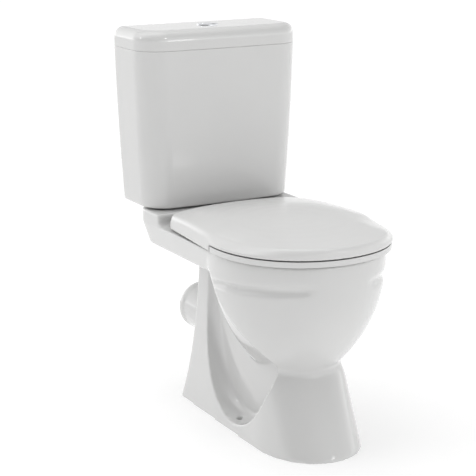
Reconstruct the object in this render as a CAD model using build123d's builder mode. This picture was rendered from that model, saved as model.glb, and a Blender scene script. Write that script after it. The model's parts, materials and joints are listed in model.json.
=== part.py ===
from build123d import *
from math import cos, pi, sin
import os

os.makedirs("parts", exist_ok=True)

# Close coupled toilet, in millimetres. +Z is up, -Y is the front, and the origin is on the floor under the
# middle of the whole object. Names ending in _FROM_WALL, _REAR, _WIDEST and _FRONT are distances forward
# from the flat back of the cistern.

# Overall heights and reach
PROJECTION = 645.0
RIM_HEIGHT = 400.0
SHELF_STEP = 25.0
CISTERN_GAP = 3.0
CISTERN_HEIGHT = 331.0
CISTERN_LID_HEIGHT = 41.0

# Pan: rim and shelf
RIM_HALF_WIDTH = 174.0
RIM_WIDEST = 425.0
RIM_OVERHANG = 8.0
RIM_FULLNESS = 0.6
RIM_THICKNESS = 32.0
RIM_EDGE_ROUND = 6.0
SHELF_REAR = 64.0
SHELF_HALF_WIDTH = 172.0
SHELF_CORNER = 58.0
SHELF_DEPTH = 120.0
SHELF_THICKNESS = 14.0
SHELF_STEP_ROUND = 12.0
DECK_THICKNESS = 16.0
POCKET_REACH = 26.0
POCKET_FROM_LEG = 4.0
BAND_DEPTH = 53.0
BAND_TAPER = 18.0
BAND_EDGE_ROUND = 9.0

# Pan: outside of the bowl
BOWL_DEPTH = 250.0
BOWL_CURVE = 2.4
BOWL_REAR = 280.0
BOWL_WIDEST = 440.0
BOWL_FOOT_HALF_WIDTH = 76.0
BOWL_FOOT_REAR = 345.0
BOWL_FOOT_FRONT = 525.0
BOWL_FULLNESS = 0.58
GROOVE_BELOW_RIM = 61.0
GROOVE_TILT = 4.6
GROOVE_RADIUS = 13.0
GROOVE_DEPTH = 3.5
GROOVE_FADE = 6.5
GROOVE_REAR = 388.0
GROOVE_PINCH = 6.0

# Pan: inside of the bowl
WELL_WALL = 13.0
WELL_CURVE = 2.1
WELL_REAR = 276.0
WELL_WIDEST = 425.0
WELL_LEAN = 45.0
WELL_REAR_FULLNESS = 0.42
WELL_DEPTH = 260.0
WELL_FOOT_INSET = 4.0
RIM_INNER_OVERHANG = 32.0

# Pan: pedestal and rear leg
FOOT_HALF_WIDTH = 107.0
FOOT_WIDEST = 470.0
FOOT_FRONT = 615.0
FOOT_WALL = 14.0
FOOT_HOLLOW_HEIGHT = 88.0
FOOT_HOLLOW_TAPER = 28.0
NECK_BELOW_RIM = 240.0
NECK_HALF_WIDTH = 96.0
NECK_WIDEST = 442.0
NECK_FRONT = 536.0
LEG_REAR = 141.0
LEG_FLARE = 22.0
LEG_FLARE_CURVE = 2.0
LEG_TAPER_CURVE = 1.5
LEG_FOOT_HALF_WIDTH = 97.0
LEG_TOP_HALF_WIDTH = 58.0
LEG_CORNER = 16.0

# Pan: leaf shaped recess on each side
WEB_HALF_WIDTH = 56.0
RECESS_BLEND = 30.0
RECESS_FLOOR = 20.0
RECESS_LOWEST = 370.0
RECESS_REAR = 195.0
RECESS_TOP_FRONT = 402.0
RECESS_TIP = 504.0
RECESS_TIP_BELOW_RIM = 232.0
RECESS_BROW_LEAN = 0.25
RECESS_BROW_DROP = 0.37
RECESS_CHIN_DROP = 0.62
RECESS_TOE_DROP = 0.45
RECESS_TOE_REACH = 0.6
RECESS_HEEL_REACH = 0.5
RECESS_HEEL_RISE = 0.24
FIXING_SPACING = 154.0
FIXING_FROM_WALL = 360.0
FIXING_HOLE_RADIUS = 5.5

# Pan: trap, outlet and flush inlet
OUTLET_DIAMETER = 102.0
OUTLET_HEIGHT = 172.0
OUTLET_END = 35.0
OUTLET_BEAD = 2.0
OUTLET_BEAD_LENGTH = 16.0
TRAP_WALL = 12.0
TRAP_BEND = 54.0
TRAP_FLOOR = 16.0
TRAP_ENTRY = 385.0
INLET_DEPTH = 22.0
DUCT_WIDTH = 70.0
DUCT_HEIGHT = 30.0
DUCT_BEND = 30.0

# Cistern and its lid
CISTERN_TOP_HALF_WIDTH = 187.0
CISTERN_FOOT_HALF_WIDTH = 171.5
CISTERN_TOP_DEPTH = 169.0
CISTERN_FOOT_DEPTH = 161.0
CISTERN_FRONT_CORNER = 56.0
CISTERN_REAR_CORNER = 24.0
CISTERN_BOW = 7.0
CISTERN_BULGE = 1.4
CISTERN_WALL = 10.0
CISTERN_FLOOR = 12.0
CISTERN_EDGE_ROUND = 6.0
CISTERN_LID_ROUND = 21.0
CISTERN_JOINT_ROUND = 1.5
CISTERN_LID_ROOF = 12.0
CISTERN_LID_LIP = 6.0
CISTERN_LID_LIP_CLEARANCE = 2.0

# Seat ring and seat lid
SEAT_LIFT = 3.0
SEAT_THICKNESS = 11.0
SEAT_INSET = 1.5
SEAT_REAR = 250.0
SEAT_REAR_CORNER = 18.0
SEAT_HOLE_HALF_WIDTH = 108.0
SEAT_HOLE_REAR = 305.0
SEAT_HOLE_WIDEST = 430.0
SEAT_HOLE_FRONT = 575.0
SEAT_EDGE_ROUND = 4.0
LID_GAP = 2.0
LID_HALF_WIDTH = 182.0
LID_WIDEST = 430.0
LID_FULLNESS = 0.6
LID_REAR = 210.0
LID_REAR_HALF_WIDTH = 163.0
LID_REAR_CORNER = 22.0
LID_CROWN = 43.0
LID_CROWN_RADIUS = 1900.0
LID_EDGE_ROUND = 8.0
LID_WALL = 3.5
LID_SKIRT_LIFT = 3.6
LID_SKIRT_START = 215.0
LID_SKIRT_END = 426.0
LID_SKIRT_CLEARANCE = 2.5
LID_NOTCH_CLEARANCE = 1.5

# Rubber pads under seat and lid
PAD_RADIUS = 7.0
PAD_GAP = 0.3
REAR_PAD_SPACING = 296.0
REAR_PAD_FROM_WALL = 330.0
FRONT_PAD_SPACING = 210.0
FRONT_PAD_FROM_WALL = 565.0
LID_PAD_SPACING = 230.0
LID_PAD_FROM_WALL = 540.0
LID_PAD_HEIGHT = 4.0

# Seat hinges
HINGE_FROM_WALL = 221.0
HINGE_RISE = 15.0
HINGE_SPACING = 155.0
HINGE_EYE_RADIUS = 7.0
HINGE_PIN_RADIUS = 4.0
HINGE_POST_WIDTH = 18.0
HINGE_LUG_WIDTH = 12.0
HINGE_SIDE_GAP = 0.5
HINGE_ARM_HEIGHT = 9.0
HINGE_FOOT_RADIUS = 14.0
HINGE_FOOT_HEIGHT = 3.0
HINGE_STUD_RADIUS = 4.0
HINGE_STUD_LENGTH = 44.0
HINGE_STUD_GRIP = 8.0
HINGE_HOLE_RADIUS = 7.0
HINGE_WASHER_RADIUS = 14.0
HINGE_WASHER_HEIGHT = 4.0

# Wing nuts of hinges and coupling bolts
WING_HUB_RADIUS = 8.0
WING_NUT_HEIGHT = 10.0
WING_SPAN = 32.0
WING_HEIGHT = 8.0
WING_THICKNESS = 3.0

# Bolts that tie the cistern to the pan, and what lies between the two
COUPLING_SPACING = 170.0
COUPLING_HOLE_RADIUS = 6.0
COUPLING_BOLT_RADIUS = 4.0
COUPLING_BOLT_END = 19.0
COUPLING_HEAD_RADIUS = 7.5
COUPLING_HEAD_HEIGHT = 5.5
COUPLING_WASHER_RADIUS = 12.0
COUPLING_WASHER_HEIGHT = 1.5
COUPLING_SEAL_HEIGHT = 3.0
CISTERN_PAD_RADIUS = 14.0
CISTERN_PAD_SPACING = 250.0

# Flush valve: base through the cistern's floor, on the axis of the pan's inlet
VALVE_FROM_WALL = 117.0
VALVE_TAIL_RADIUS = 24.0
VALVE_TAIL_LENGTH = 20.0
VALVE_HOLE_RADIUS = 25.0
VALVE_BORE_RADIUS = 20.0
VALVE_FLANGE_RADIUS = 33.0
VALVE_FLANGE_HEIGHT = 5.0
VALVE_LIP_RADIUS = 25.0
VALVE_LIP_HEIGHT = 8.0
VALVE_WASHER_HEIGHT = 3.0
VALVE_NUT_HEIGHT = 10.0
SEAL_RADIUS = 41.0

# Flush valve: cage, bridge and lifting core
CAGE_RADIUS = 32.0
CAGE_WALL = 2.5
CAGE_HEIGHT = 112.0
CAGE_WINDOW_WIDTH = 34.0
CAGE_BAND = 12.0
BRIDGE_PLATE = 4.0
BRIDGE_HALF_GAP = 22.0
BRIDGE_LEG_THICKNESS = 5.0
BRIDGE_LEG_WIDTH = 14.0
TUBE_RADIUS = 12.0
TUBE_WALL = 1.8
TUBE_BELOW_SEAT = 4.0
TUBE_ABOVE_PIVOT = 28.0
CORE_SEAL_GAP = 0.3
CORE_SEAL_HEIGHT = 3.2
CORE_DISC_RADIUS = 27.0
CORE_DISC_HEIGHT = 3.5
SLEEVE_WALL = 2.0
SLEEVE_FOOT_RADIUS = 17.0
SLEEVE_FOOT_HEIGHT = 2.0
FLOAT_RISE = 52.0
FLOAT_RADIUS = 27.0
FLOAT_HEIGHT = 35.0
CATCH_REACH = 21.0
CATCH_WIDTH = 12.0
CATCH_HEIGHT = 3.0
CATCH_STROKE_GAP = 8.0

# Flush levers between the push rods and the core
PIVOT_FROM_WALL = 100.0
PIVOT_RISE = 262.0
PIVOT_PIN_RADIUS = 2.0
LEVER_HUB_RADIUS = 4.5
LEVER_INNER = 14.6
LEVER_OUTER = 20.4
LEVER_HUB_OUTER = 21.7
LEVER_HALF_THICKNESS = 2.5
LEVER_TIP_RADIUS = 3.0
LEVER_PAD_INNER = 9.0
LEVER_PAD_LENGTH = 9.0
LEVER_GAP = 0.4

# Button unit in the cistern's lid
BUTTON_FROM_WALL = 84.0
BUTTON_HOLE_RADIUS = 20.3
BEZEL_RADIUS = 22.5
BEZEL_HEIGHT = 2.5
BEZEL_NECK_RADIUS = 19.5
BEZEL_NECK_LENGTH = 36.0
BEZEL_BORE_RADIUS = 17.8
BEZEL_FLOOR = 3.0
BEZEL_ROUND = 1.2
BUTTON_RADIUS = 17.5
BUTTON_SPLIT = 0.8
BUTTON_HEIGHT = 10.3
BUTTON_PROUD = 0.8
BUTTON_ROUND = 0.8
ROD_RADIUS = 2.0
ROD_OFFSET = 12.5
ROD_SOCKET = 5.0
SPRING_RADIUS = 3.4
SPRING_WIRE_RADIUS = 0.5
SPRING_TURNS = 5
LOCK_NUT_RADIUS = 27.0
LOCK_NUT_HEIGHT = 8.0

# Fill valve, bottom entry
FILL_FROM_SIDE = 39.25
FILL_FROM_WALL = 46.0
FILL_TAIL_RADIUS = 10.4
FILL_TAIL_LENGTH = 42.0
FILL_THREAD_RADIUS = 10.0
FILL_THREAD_LENGTH = 30.0
FILL_HOLE_RADIUS = 11.2
FILL_FLANGE_RADIUS = 17.0
FILL_FLANGE_HEIGHT = 4.0
FILL_WASHER_HEIGHT = 2.0
FILL_NUT_RADIUS = 15.0
FILL_NUT_HEIGHT = 8.0
FILL_RISER_RADIUS = 9.5
FILL_BORE_RADIUS = 5.0
FILL_HEIGHT = 250.0
FILL_CAP_RADIUS = 19.0
FILL_CAP_HEIGHT = 30.0
FILL_CAP_SOCKET = 8.0
FILL_STOP_RADIUS = 14.0
FILL_STOP_RISE = 154.0
FILL_STOP_HEIGHT = 5.7
FILL_FLOAT_RADIUS = 27.0
FILL_FLOAT_BORE = 10.0
FILL_FLOAT_HEIGHT = 45.0
FILL_FLOAT_WALL = 2.5
FILL_LEVER_PIVOT = 12.0
FILL_LEVER_REACH = 42.0
FILL_LEVER_WIDTH = 9.0
FILL_LEVER_THICKNESS = 3.0
FILL_LEVER_HUB_RADIUS = 4.0
FILL_LEVER_RISE = 4.0
FILL_PIN_RADIUS = 1.5
FILL_EAR_THICKNESS = 3.0
FILL_EAR_LENGTH = 12.0
FILL_EAR_HEIGHT = 9.0
FILL_LINK_OFFSET = 24.0
FILL_LINK_RADIUS = 1.5
FILL_LINK_COLLAR_RADIUS = 2.6
FILL_LINK_COLLAR_HEIGHT = 2.0
FILL_LINK_GAP = 1.0
FILL_LINK_OVERRUN = 6.0
FILL_SLOT_LENGTH = 10.0
FILL_SLOT_WIDTH = 4.0

# Fits between round pieces
RUNNING_FIT = 0.06
CLOSE_FIT = 0.03
LOOSE_FIT = 0.5


def y_at(from_wall):
    """Y of a place given as its distance in front of the cistern's back."""
    return PROJECTION / 2 - from_wall


def between(start, end, share):
    """Value a given share of the way from start to end."""
    return start + (end - start) * share


def egg_edges(half_width, rear, widest, front, fullness, rear_fullness):
    """Closed egg in plan: four curves between its rear, its two sides and its front."""
    for side in (1, -1):
        Bezier(
            (0, y_at(front)),
            (side * fullness * half_width, y_at(front)),
            (side * half_width, y_at(between(widest, front, fullness))),
            (side * half_width, y_at(widest)),
        )
        Bezier(
            (side * half_width, y_at(widest)),
            (side * half_width, y_at(between(widest, rear, rear_fullness))),
            (side * rear_fullness * half_width, y_at(rear)),
            (0, y_at(rear)),
        )


def slab_edges(half_width, widest, front, fullness, rear_half_width, rear):
    """Closed outline with a rounded front that runs smoothly into straight flanks, and a straight rear."""
    lead = fullness * (front - widest)
    spread = lead * (half_width - rear_half_width) / (widest - rear)
    for side in (1, -1):
        Bezier(
            (0, y_at(front)),
            (side * fullness * half_width, y_at(front)),
            (side * (half_width + spread), y_at(widest + lead)),
            (side * half_width, y_at(widest)),
        )
        Line((side * half_width, y_at(widest)), (side * rear_half_width, y_at(rear)))
    Line((rear_half_width, y_at(rear)), (-rear_half_width, y_at(rear)))


# Levels and places that follow from the sizes above
RIM_FRONT = PROJECTION - RIM_OVERHANG
WELL_BOTTOM = RIM_HEIGHT - WELL_DEPTH
NECK_HEIGHT = RIM_HEIGHT - NECK_BELOW_RIM
RECESS_TIP_HEIGHT = RIM_HEIGHT - RECESS_TIP_BELOW_RIM
UNDERSIDE_Z = RIM_HEIGHT - BAND_DEPTH
PLATFORM_Z = RIM_HEIGHT + SHELF_STEP
SHELF_FRONT = SHELF_REAR + SHELF_DEPTH
CISTERN_Z = PLATFORM_Z + CISTERN_GAP
CISTERN_TOP_Z = CISTERN_Z + CISTERN_HEIGHT
TANK_FLOOR_Z = CISTERN_Z + CISTERN_FLOOR
LID_TOP_Z = CISTERN_TOP_Z + CISTERN_LID_HEIGHT
LID_CEILING_Z = LID_TOP_Z - CISTERN_LID_ROOF
OUTLET_RADIUS = OUTLET_DIAMETER / 2
TRAP_BORE = OUTLET_RADIUS - TRAP_WALL
BELOW_FLOOR = 1.0
INLET_FLOOR_Z = PLATFORM_Z - INLET_DEPTH
INLET_RADIUS = SEAL_RADIUS + LOOSE_FIT
FILL_OFFSET = (CISTERN_TOP_HALF_WIDTH + CISTERN_FOOT_HALF_WIDTH) / 2 - FILL_FROM_SIDE

# Rim and shelf: a slab with tapered flanks, and the raised platform that carries the cistern
with BuildPart() as rim_slab:
    for height, inset in ((UNDERSIDE_Z, BAND_TAPER), (RIM_HEIGHT, 0.0)):
        with BuildSketch(Plane.XY.offset(height)) as slab_outline:
            with BuildLine():
                slab_edges(
                    RIM_HALF_WIDTH - inset,
                    RIM_WIDEST,
                    RIM_FRONT - inset,
                    RIM_FULLNESS,
                    SHELF_HALF_WIDTH - inset,
                    SHELF_REAR,
                )
            make_face()
            fillet(slab_outline.vertices().group_by(Axis.Y)[-1], SHELF_CORNER)
    loft()
    fillet(rim_slab.faces().sort_by(Axis.Z)[0].edges(), BAND_EDGE_ROUND)
    with BuildSketch(Plane.XY.offset(RIM_HEIGHT)) as platform_outline:
        with Locations((0, y_at(SHELF_REAR + SHELF_DEPTH / 2))):
            Rectangle(2 * SHELF_HALF_WIDTH, SHELF_DEPTH)
        fillet(platform_outline.vertices().group_by(Axis.Y)[-1], SHELF_CORNER)
    extrude(amount=SHELF_STEP)
    step_foot = rim_slab.edges().filter_by_position(Axis.Z, RIM_HEIGHT - 0.1, RIM_HEIGHT + 0.1)
    fillet(step_foot.filter_by(Axis.X).sort_by(Axis.Y)[0], SHELF_STEP_ROUND)

# Bowl, outside
with BuildPart() as bowl:
    BOWL_STEPS = 5
    for step in range(BOWL_STEPS + 1):
        depth_share = step / BOWL_STEPS
        drop = depth_share**BOWL_CURVE
        with BuildSketch(Plane.XY.offset(RIM_HEIGHT - BOWL_DEPTH * depth_share)):
            with BuildLine():
                egg_edges(
                    between(RIM_HALF_WIDTH, BOWL_FOOT_HALF_WIDTH, drop),
                    between(BOWL_REAR, BOWL_FOOT_REAR, drop),
                    BOWL_WIDEST,
                    between(RIM_FRONT, BOWL_FOOT_FRONT, drop),
                    BOWL_FULLNESS,
                    BOWL_FULLNESS,
                )
            make_face()
    loft()

# Pedestal with its rear leg, flared towards the floor
with BuildPart() as pedestal:
    for height in (0.0, NECK_HEIGHT / 2, NECK_HEIGHT, (NECK_HEIGHT + UNDERSIDE_Z) / 2, UNDERSIDE_Z):
        rise = height / NECK_HEIGHT
        flare = max(0.0, 1 - rise) ** LEG_FLARE_CURVE
        leg_share = (1 - height / UNDERSIDE_Z) ** LEG_TAPER_CURVE
        with BuildSketch(Plane.XY.offset(height)) as foot_outline:
            with BuildLine():
                slab_edges(
                    between(FOOT_HALF_WIDTH, NECK_HALF_WIDTH, rise),
                    between(FOOT_WIDEST, NECK_WIDEST, rise),
                    between(FOOT_FRONT, NECK_FRONT, rise),
                    RIM_FULLNESS,
                    between(LEG_TOP_HALF_WIDTH, LEG_FOOT_HALF_WIDTH, leg_share),
                    LEG_REAR - LEG_FLARE * flare,
                )
            make_face()
            fillet(foot_outline.vertices().group_by(Axis.Y)[-1], LEG_CORNER)
    loft()


def leaf_edges(inset):
    """Outline of the side recess, seen from the side, drawn in by the given amount."""
    top = UNDERSIDE_Z + BAND_DEPTH / 4
    rear = RECESS_REAR + inset
    tip = RECESS_TIP - inset / 2
    floor = RECESS_FLOOR + inset / 2
    top_front = RECESS_TOP_FRONT - inset / 4
    Line((y_at(rear), top), (y_at(top_front), top))
    Bezier(
        (y_at(top_front), top),
        (y_at(between(top_front, tip, RECESS_BROW_LEAN)), between(top, RECESS_TIP_HEIGHT, RECESS_BROW_DROP)),
        (y_at(tip), between(top, RECESS_TIP_HEIGHT, RECESS_CHIN_DROP)),
        (y_at(tip), RECESS_TIP_HEIGHT),
    )
    Bezier(
        (y_at(tip), RECESS_TIP_HEIGHT),
        (y_at(tip), between(RECESS_TIP_HEIGHT, floor, RECESS_TOE_DROP)),
        (y_at(between(RECESS_LOWEST, tip, RECESS_TOE_REACH)), floor),
        (y_at(RECESS_LOWEST), floor),
    )
    Bezier(
        (y_at(RECESS_LOWEST), floor),
        (y_at(between(RECESS_LOWEST, rear, RECESS_HEEL_REACH)), floor),
        (y_at(rear), between(floor, top, RECESS_HEEL_RISE)),
        (y_at(rear), top),
    )


def well_edges(depth_share, wall):
    """Section of the bowl's inside at a share of its depth, grown by a wall."""
    drop = depth_share**WELL_CURVE
    lean = WELL_LEAN * 4 * depth_share * (1 - depth_share)
    foot = TRAP_BORE - WELL_FOOT_INSET
    egg_edges(
        between(RIM_HALF_WIDTH - WELL_WALL, foot, drop) + wall,
        between(WELL_REAR, TRAP_ENTRY - foot, depth_share) - wall,
        between(WELL_WIDEST, TRAP_ENTRY, depth_share) + lean,
        between(RIM_FRONT - WELL_WALL, TRAP_ENTRY + foot, drop) + wall,
        BOWL_FULLNESS,
        between(WELL_REAR_FULLNESS, BOWL_FULLNESS, drop),
    )


# Space inside the bowl, from under the rim down to the trap
WELL_STEPS = 4
WELL_TOP = RIM_HEIGHT - RIM_THICKNESS
with BuildPart() as well:
    for step in range(WELL_STEPS + 1):
        with BuildSketch(Plane.XY.offset(between(WELL_TOP, WELL_BOTTOM, step / WELL_STEPS))):
            with BuildLine():
                well_edges(step / WELL_STEPS, 0.0)
            make_face()
    loft()

# The same space with its wall, which the side recesses leave standing
with BuildPart() as well_shell:
    for step in range(WELL_STEPS + 1):
        with BuildSketch(Plane.XY.offset(between(WELL_TOP, WELL_BOTTOM, step / WELL_STEPS))):
            with BuildLine():
                well_edges(step / WELL_STEPS, WELL_WALL - 1)
            make_face()
    loft()

# Recess tool for one side: a rounded bottom against the web, then straight out through the flank
with BuildPart() as recess:
    for outward, inset in ((0.0, RECESS_BLEND), (RECESS_BLEND / 3, RECESS_BLEND / 3), (RECESS_BLEND, 0.0)):
        with BuildSketch(Plane.YZ.offset(WEB_HALF_WIDTH + outward)):
            with BuildLine():
                leaf_edges(inset)
            make_face()
    loft()
    extrude(recess.faces().sort_by(Axis.X)[-1], amount=RIM_HALF_WIDTH)
    add(well_shell.part, mode=Mode.SUBTRACT)

# Groove tool for one side: a round bar along the bowl, a little below the rim, that leaves it towards the front
GROOVE_DROP = (GROOVE_BELOW_RIM / BOWL_DEPTH) ** BOWL_CURVE
GROOVE_SIDE = between(RIM_HALF_WIDTH, BOWL_FOOT_HALF_WIDTH, GROOVE_DROP) + GROOVE_RADIUS - GROOVE_DEPTH
GROOVE_FRONT = between(RIM_FRONT, BOWL_FOOT_FRONT, GROOVE_DROP) + GROOVE_RADIUS - GROOVE_DEPTH + GROOVE_FADE
groove_plane = Plane((0, y_at(BOWL_WIDEST), RIM_HEIGHT - GROOVE_BELOW_RIM)).rotated((-GROOVE_TILT, 0, 0))
with BuildPart() as groove:
    reach = GROOVE_FRONT - BOWL_WIDEST
    back = BOWL_WIDEST - GROOVE_REAR
    with BuildLine(groove_plane) as groove_course:
        Bezier((GROOVE_SIDE - GROOVE_PINCH, back), (GROOVE_SIDE, back / 2), (GROOVE_SIDE, 0))
        Bezier(
            (GROOVE_SIDE, 0),
            (GROOVE_SIDE, -BOWL_FULLNESS * reach),
            (BOWL_FULLNESS * GROOVE_SIDE, -reach),
            (0, -reach),
        )
    with BuildSketch(Plane(groove_course.line @ 0, z_dir=groove_course.line % 0)):
        Circle(GROOVE_RADIUS)
    sweep(path=groove_course.wires()[0])

# Course of the trap: down from the bowl, round the U bend, up and over to the outlet at the rear
U_BEND_Z = TRAP_FLOOR + TRAP_BORE + TRAP_BEND
RISER = TRAP_ENTRY - 2 * TRAP_BEND
with BuildLine(Plane.YZ) as trap_course:
    Line((y_at(TRAP_ENTRY), WELL_BOTTOM + TRAP_BORE / 2), (y_at(TRAP_ENTRY), U_BEND_Z))
    ThreePointArc(
        (y_at(TRAP_ENTRY), U_BEND_Z),
        (y_at(TRAP_ENTRY - TRAP_BEND), U_BEND_Z - TRAP_BEND),
        (y_at(RISER), U_BEND_Z),
    )
    Line((y_at(RISER), U_BEND_Z), (y_at(RISER), OUTLET_HEIGHT - TRAP_BEND))
    JernArc((y_at(RISER), OUTLET_HEIGHT - TRAP_BEND), (0, 1), TRAP_BEND, -90)
    Line((y_at(RISER - TRAP_BEND), OUTLET_HEIGHT), (y_at(OUTLET_END), OUTLET_HEIGHT))

trap_start = Plane.XY.offset(WELL_BOTTOM + TRAP_BORE / 2)

with BuildPart() as trap_tube:
    with BuildSketch(trap_start):
        with Locations((0, y_at(TRAP_ENTRY))):
            Circle(OUTLET_RADIUS)
    sweep(path=trap_course.wires()[0])
    with BuildSketch(Plane.XZ.offset(-y_at(OUTLET_END))):
        with Locations((0, OUTLET_HEIGHT)):
            Circle(OUTLET_RADIUS + OUTLET_BEAD)
    extrude(amount=OUTLET_BEAD_LENGTH)

with BuildPart() as trap_bore:
    with BuildSketch(trap_start):
        with Locations((0, y_at(TRAP_ENTRY))):
            Circle(TRAP_BORE)
    sweep(path=trap_course.wires()[0])

# Flush duct: from the inlet in the shelf, round a bend and forward into the bowl under the rim
DUCT_Z = INLET_FLOOR_Z - DUCT_BEND
with BuildLine(Plane.YZ) as duct_course:
    JernArc((y_at(VALVE_FROM_WALL), INLET_FLOOR_Z), (0, -1), DUCT_BEND, -90)
    Line((y_at(VALVE_FROM_WALL + DUCT_BEND), DUCT_Z), (y_at(WELL_REAR + 2 * RIM_INNER_OVERHANG), DUCT_Z))

with BuildPart() as duct:
    with BuildSketch(Plane.XY.offset(INLET_FLOOR_Z)):
        with Locations((0, y_at(VALVE_FROM_WALL))):
            RectangleRounded(DUCT_WIDTH, DUCT_HEIGHT, DUCT_HEIGHT / 3)
    sweep(path=duct_course.wires()[0])

# Open space at the back of the rear leg, round the trap
with BuildPart() as leg_hollow:
    for height in (-BELOW_FLOOR, NECK_HEIGHT / 2, NECK_HEIGHT, UNDERSIDE_Z - FOOT_WALL):
        leg_share = (1 - max(0.0, height) / UNDERSIDE_Z) ** LEG_TAPER_CURVE
        width = between(LEG_TOP_HALF_WIDTH, LEG_FOOT_HALF_WIDTH, leg_share) - FOOT_WALL
        with BuildSketch(Plane.XY.offset(height)):
            with Locations((0, y_at(RECESS_REAR + FOOT_WALL))):
                Rectangle(2 * width, RECESS_REAR, align=(Align.CENTER, Align.MIN))
    loft()
    add(trap_tube.part, mode=Mode.SUBTRACT)

# Open space under the front of the pedestal
with BuildPart() as foot_hollow:
    for height, taper in ((-BELOW_FLOOR, 0.0), (FOOT_HOLLOW_HEIGHT, FOOT_HOLLOW_TAPER)):
        rear = RECESS_TIP + FOOT_WALL
        front = between(FOOT_FRONT, NECK_FRONT, height / NECK_HEIGHT) - FOOT_WALL
        half_width = FOOT_HALF_WIDTH - 2 * FOOT_WALL - taper
        with BuildSketch(Plane.XY.offset(height)):
            with BuildLine():
                egg_edges(half_width, rear, (rear + front) / 2, front, RIM_FULLNESS, RIM_FULLNESS)
            make_face()
    loft()

# Pockets under the shelf, one on each side of the duct, where the nuts of bolts and hinges sit
POCKET_INNER = LEG_TOP_HALF_WIDTH + POCKET_FROM_LEG
POCKET_OUTER = SHELF_HALF_WIDTH - BAND_TAPER - SHELF_THICKNESS
POCKET_REAR = SHELF_REAR + SHELF_THICKNESS
POCKET_FRONT = HINGE_FROM_WALL + POCKET_REACH
DECK_CEILING_Z = RIM_HEIGHT - DECK_THICKNESS
SHELF_CEILING_Z = PLATFORM_Z - SHELF_THICKNESS
with BuildPart() as pocket:
    for front, ceiling in ((POCKET_FRONT, DECK_CEILING_Z), (SHELF_FRONT - DECK_THICKNESS, SHELF_CEILING_Z)):
        with BuildSketch(Plane.XY.offset(ceiling)) as pocket_outline:
            with Locations(((POCKET_INNER + POCKET_OUTER) / 2, y_at((POCKET_REAR + front) / 2))):
                Rectangle(POCKET_OUTER - POCKET_INNER, front - POCKET_REAR)
            fillet(pocket_outline.vertices(), SHELF_THICKNESS)
        extrude(amount=UNDERSIDE_Z - BELOW_FLOOR - ceiling)

with BuildPart() as pan:
    add(bowl.part)
    add(pedestal.part)
    add(recess.part, mode=Mode.SUBTRACT)
    add(mirror(recess.part, about=Plane.YZ, mode=Mode.PRIVATE), mode=Mode.SUBTRACT)
    add(rim_slab.part)
    add(groove.part, mode=Mode.SUBTRACT)
    add(mirror(groove.part, about=Plane.YZ, mode=Mode.PRIVATE), mode=Mode.SUBTRACT)
    add(leg_hollow.part, mode=Mode.SUBTRACT)
    add(foot_hollow.part, mode=Mode.SUBTRACT)
    add(pocket.part, mode=Mode.SUBTRACT)
    add(mirror(pocket.part, about=Plane.YZ, mode=Mode.PRIVATE), mode=Mode.SUBTRACT)
    add(trap_tube.part)
    add(well.part, mode=Mode.SUBTRACT)
    add(trap_bore.part, mode=Mode.SUBTRACT)
    with BuildSketch(Plane.XY.offset(RIM_HEIGHT)):
        with BuildLine():
            well_edges(0.0, -RIM_INNER_OVERHANG)
        make_face()
    extrude(amount=-RIM_THICKNESS - BELOW_FLOOR, mode=Mode.SUBTRACT)
    add(duct.part, mode=Mode.SUBTRACT)
    with Locations((0, y_at(VALVE_FROM_WALL), PLATFORM_Z)):
        Cylinder(INLET_RADIUS, INLET_DEPTH, align=(Align.CENTER, Align.CENTER, Align.MAX), mode=Mode.SUBTRACT)
    with Locations((0, y_at(VALVE_FROM_WALL), PLATFORM_Z)):
        with GridLocations(COUPLING_SPACING, 0, 2, 1):
            Hole(COUPLING_HOLE_RADIUS, depth=2 * SHELF_THICKNESS)
    with Locations((0, y_at(HINGE_FROM_WALL), RIM_HEIGHT)):
        with GridLocations(HINGE_SPACING, 0, 2, 1):
            Hole(HINGE_HOLE_RADIUS, depth=2 * DECK_THICKNESS)
    with Locations((0, y_at(FIXING_FROM_WALL), 2 * RECESS_FLOOR)):
        with GridLocations(FIXING_SPACING, 0, 2, 1):
            Hole(FIXING_HOLE_RADIUS, depth=3 * RECESS_FLOOR)

pan.part.label = "pan"
export_step(pan.part, "parts/pan.step")


def tank_size(rise):
    """Half width and depth of the cistern at a share of its height."""
    swell = 1 - (1 - rise) ** CISTERN_BULGE
    half_width = between(CISTERN_FOOT_HALF_WIDTH, CISTERN_TOP_HALF_WIDTH, swell)
    return half_width, between(CISTERN_FOOT_DEPTH, CISTERN_TOP_DEPTH, swell)


def tank_edges(rise, inset):
    """Outline of the cistern at a share of its height, drawn in by the given amount."""
    half_width, depth = tank_size(rise)
    side = half_width - inset
    shoulder = depth - inset - CISTERN_BOW
    Line((-side, y_at(shoulder)), (-side, y_at(inset)))
    Line((-side, y_at(inset)), (side, y_at(inset)))
    Line((side, y_at(inset)), (side, y_at(shoulder)))
    ThreePointArc((side, y_at(shoulder)), (0, y_at(depth - inset)), (-side, y_at(shoulder)))


ON = (Align.CENTER, Align.CENTER, Align.MIN)
UNDER = (Align.CENTER, Align.CENTER, Align.MAX)
ALONG_X = (0, 90, 0)
ALONG_Y = (90, 0, 0)
FLOOR_RISE = CISTERN_FLOOR / CISTERN_HEIGHT

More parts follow.
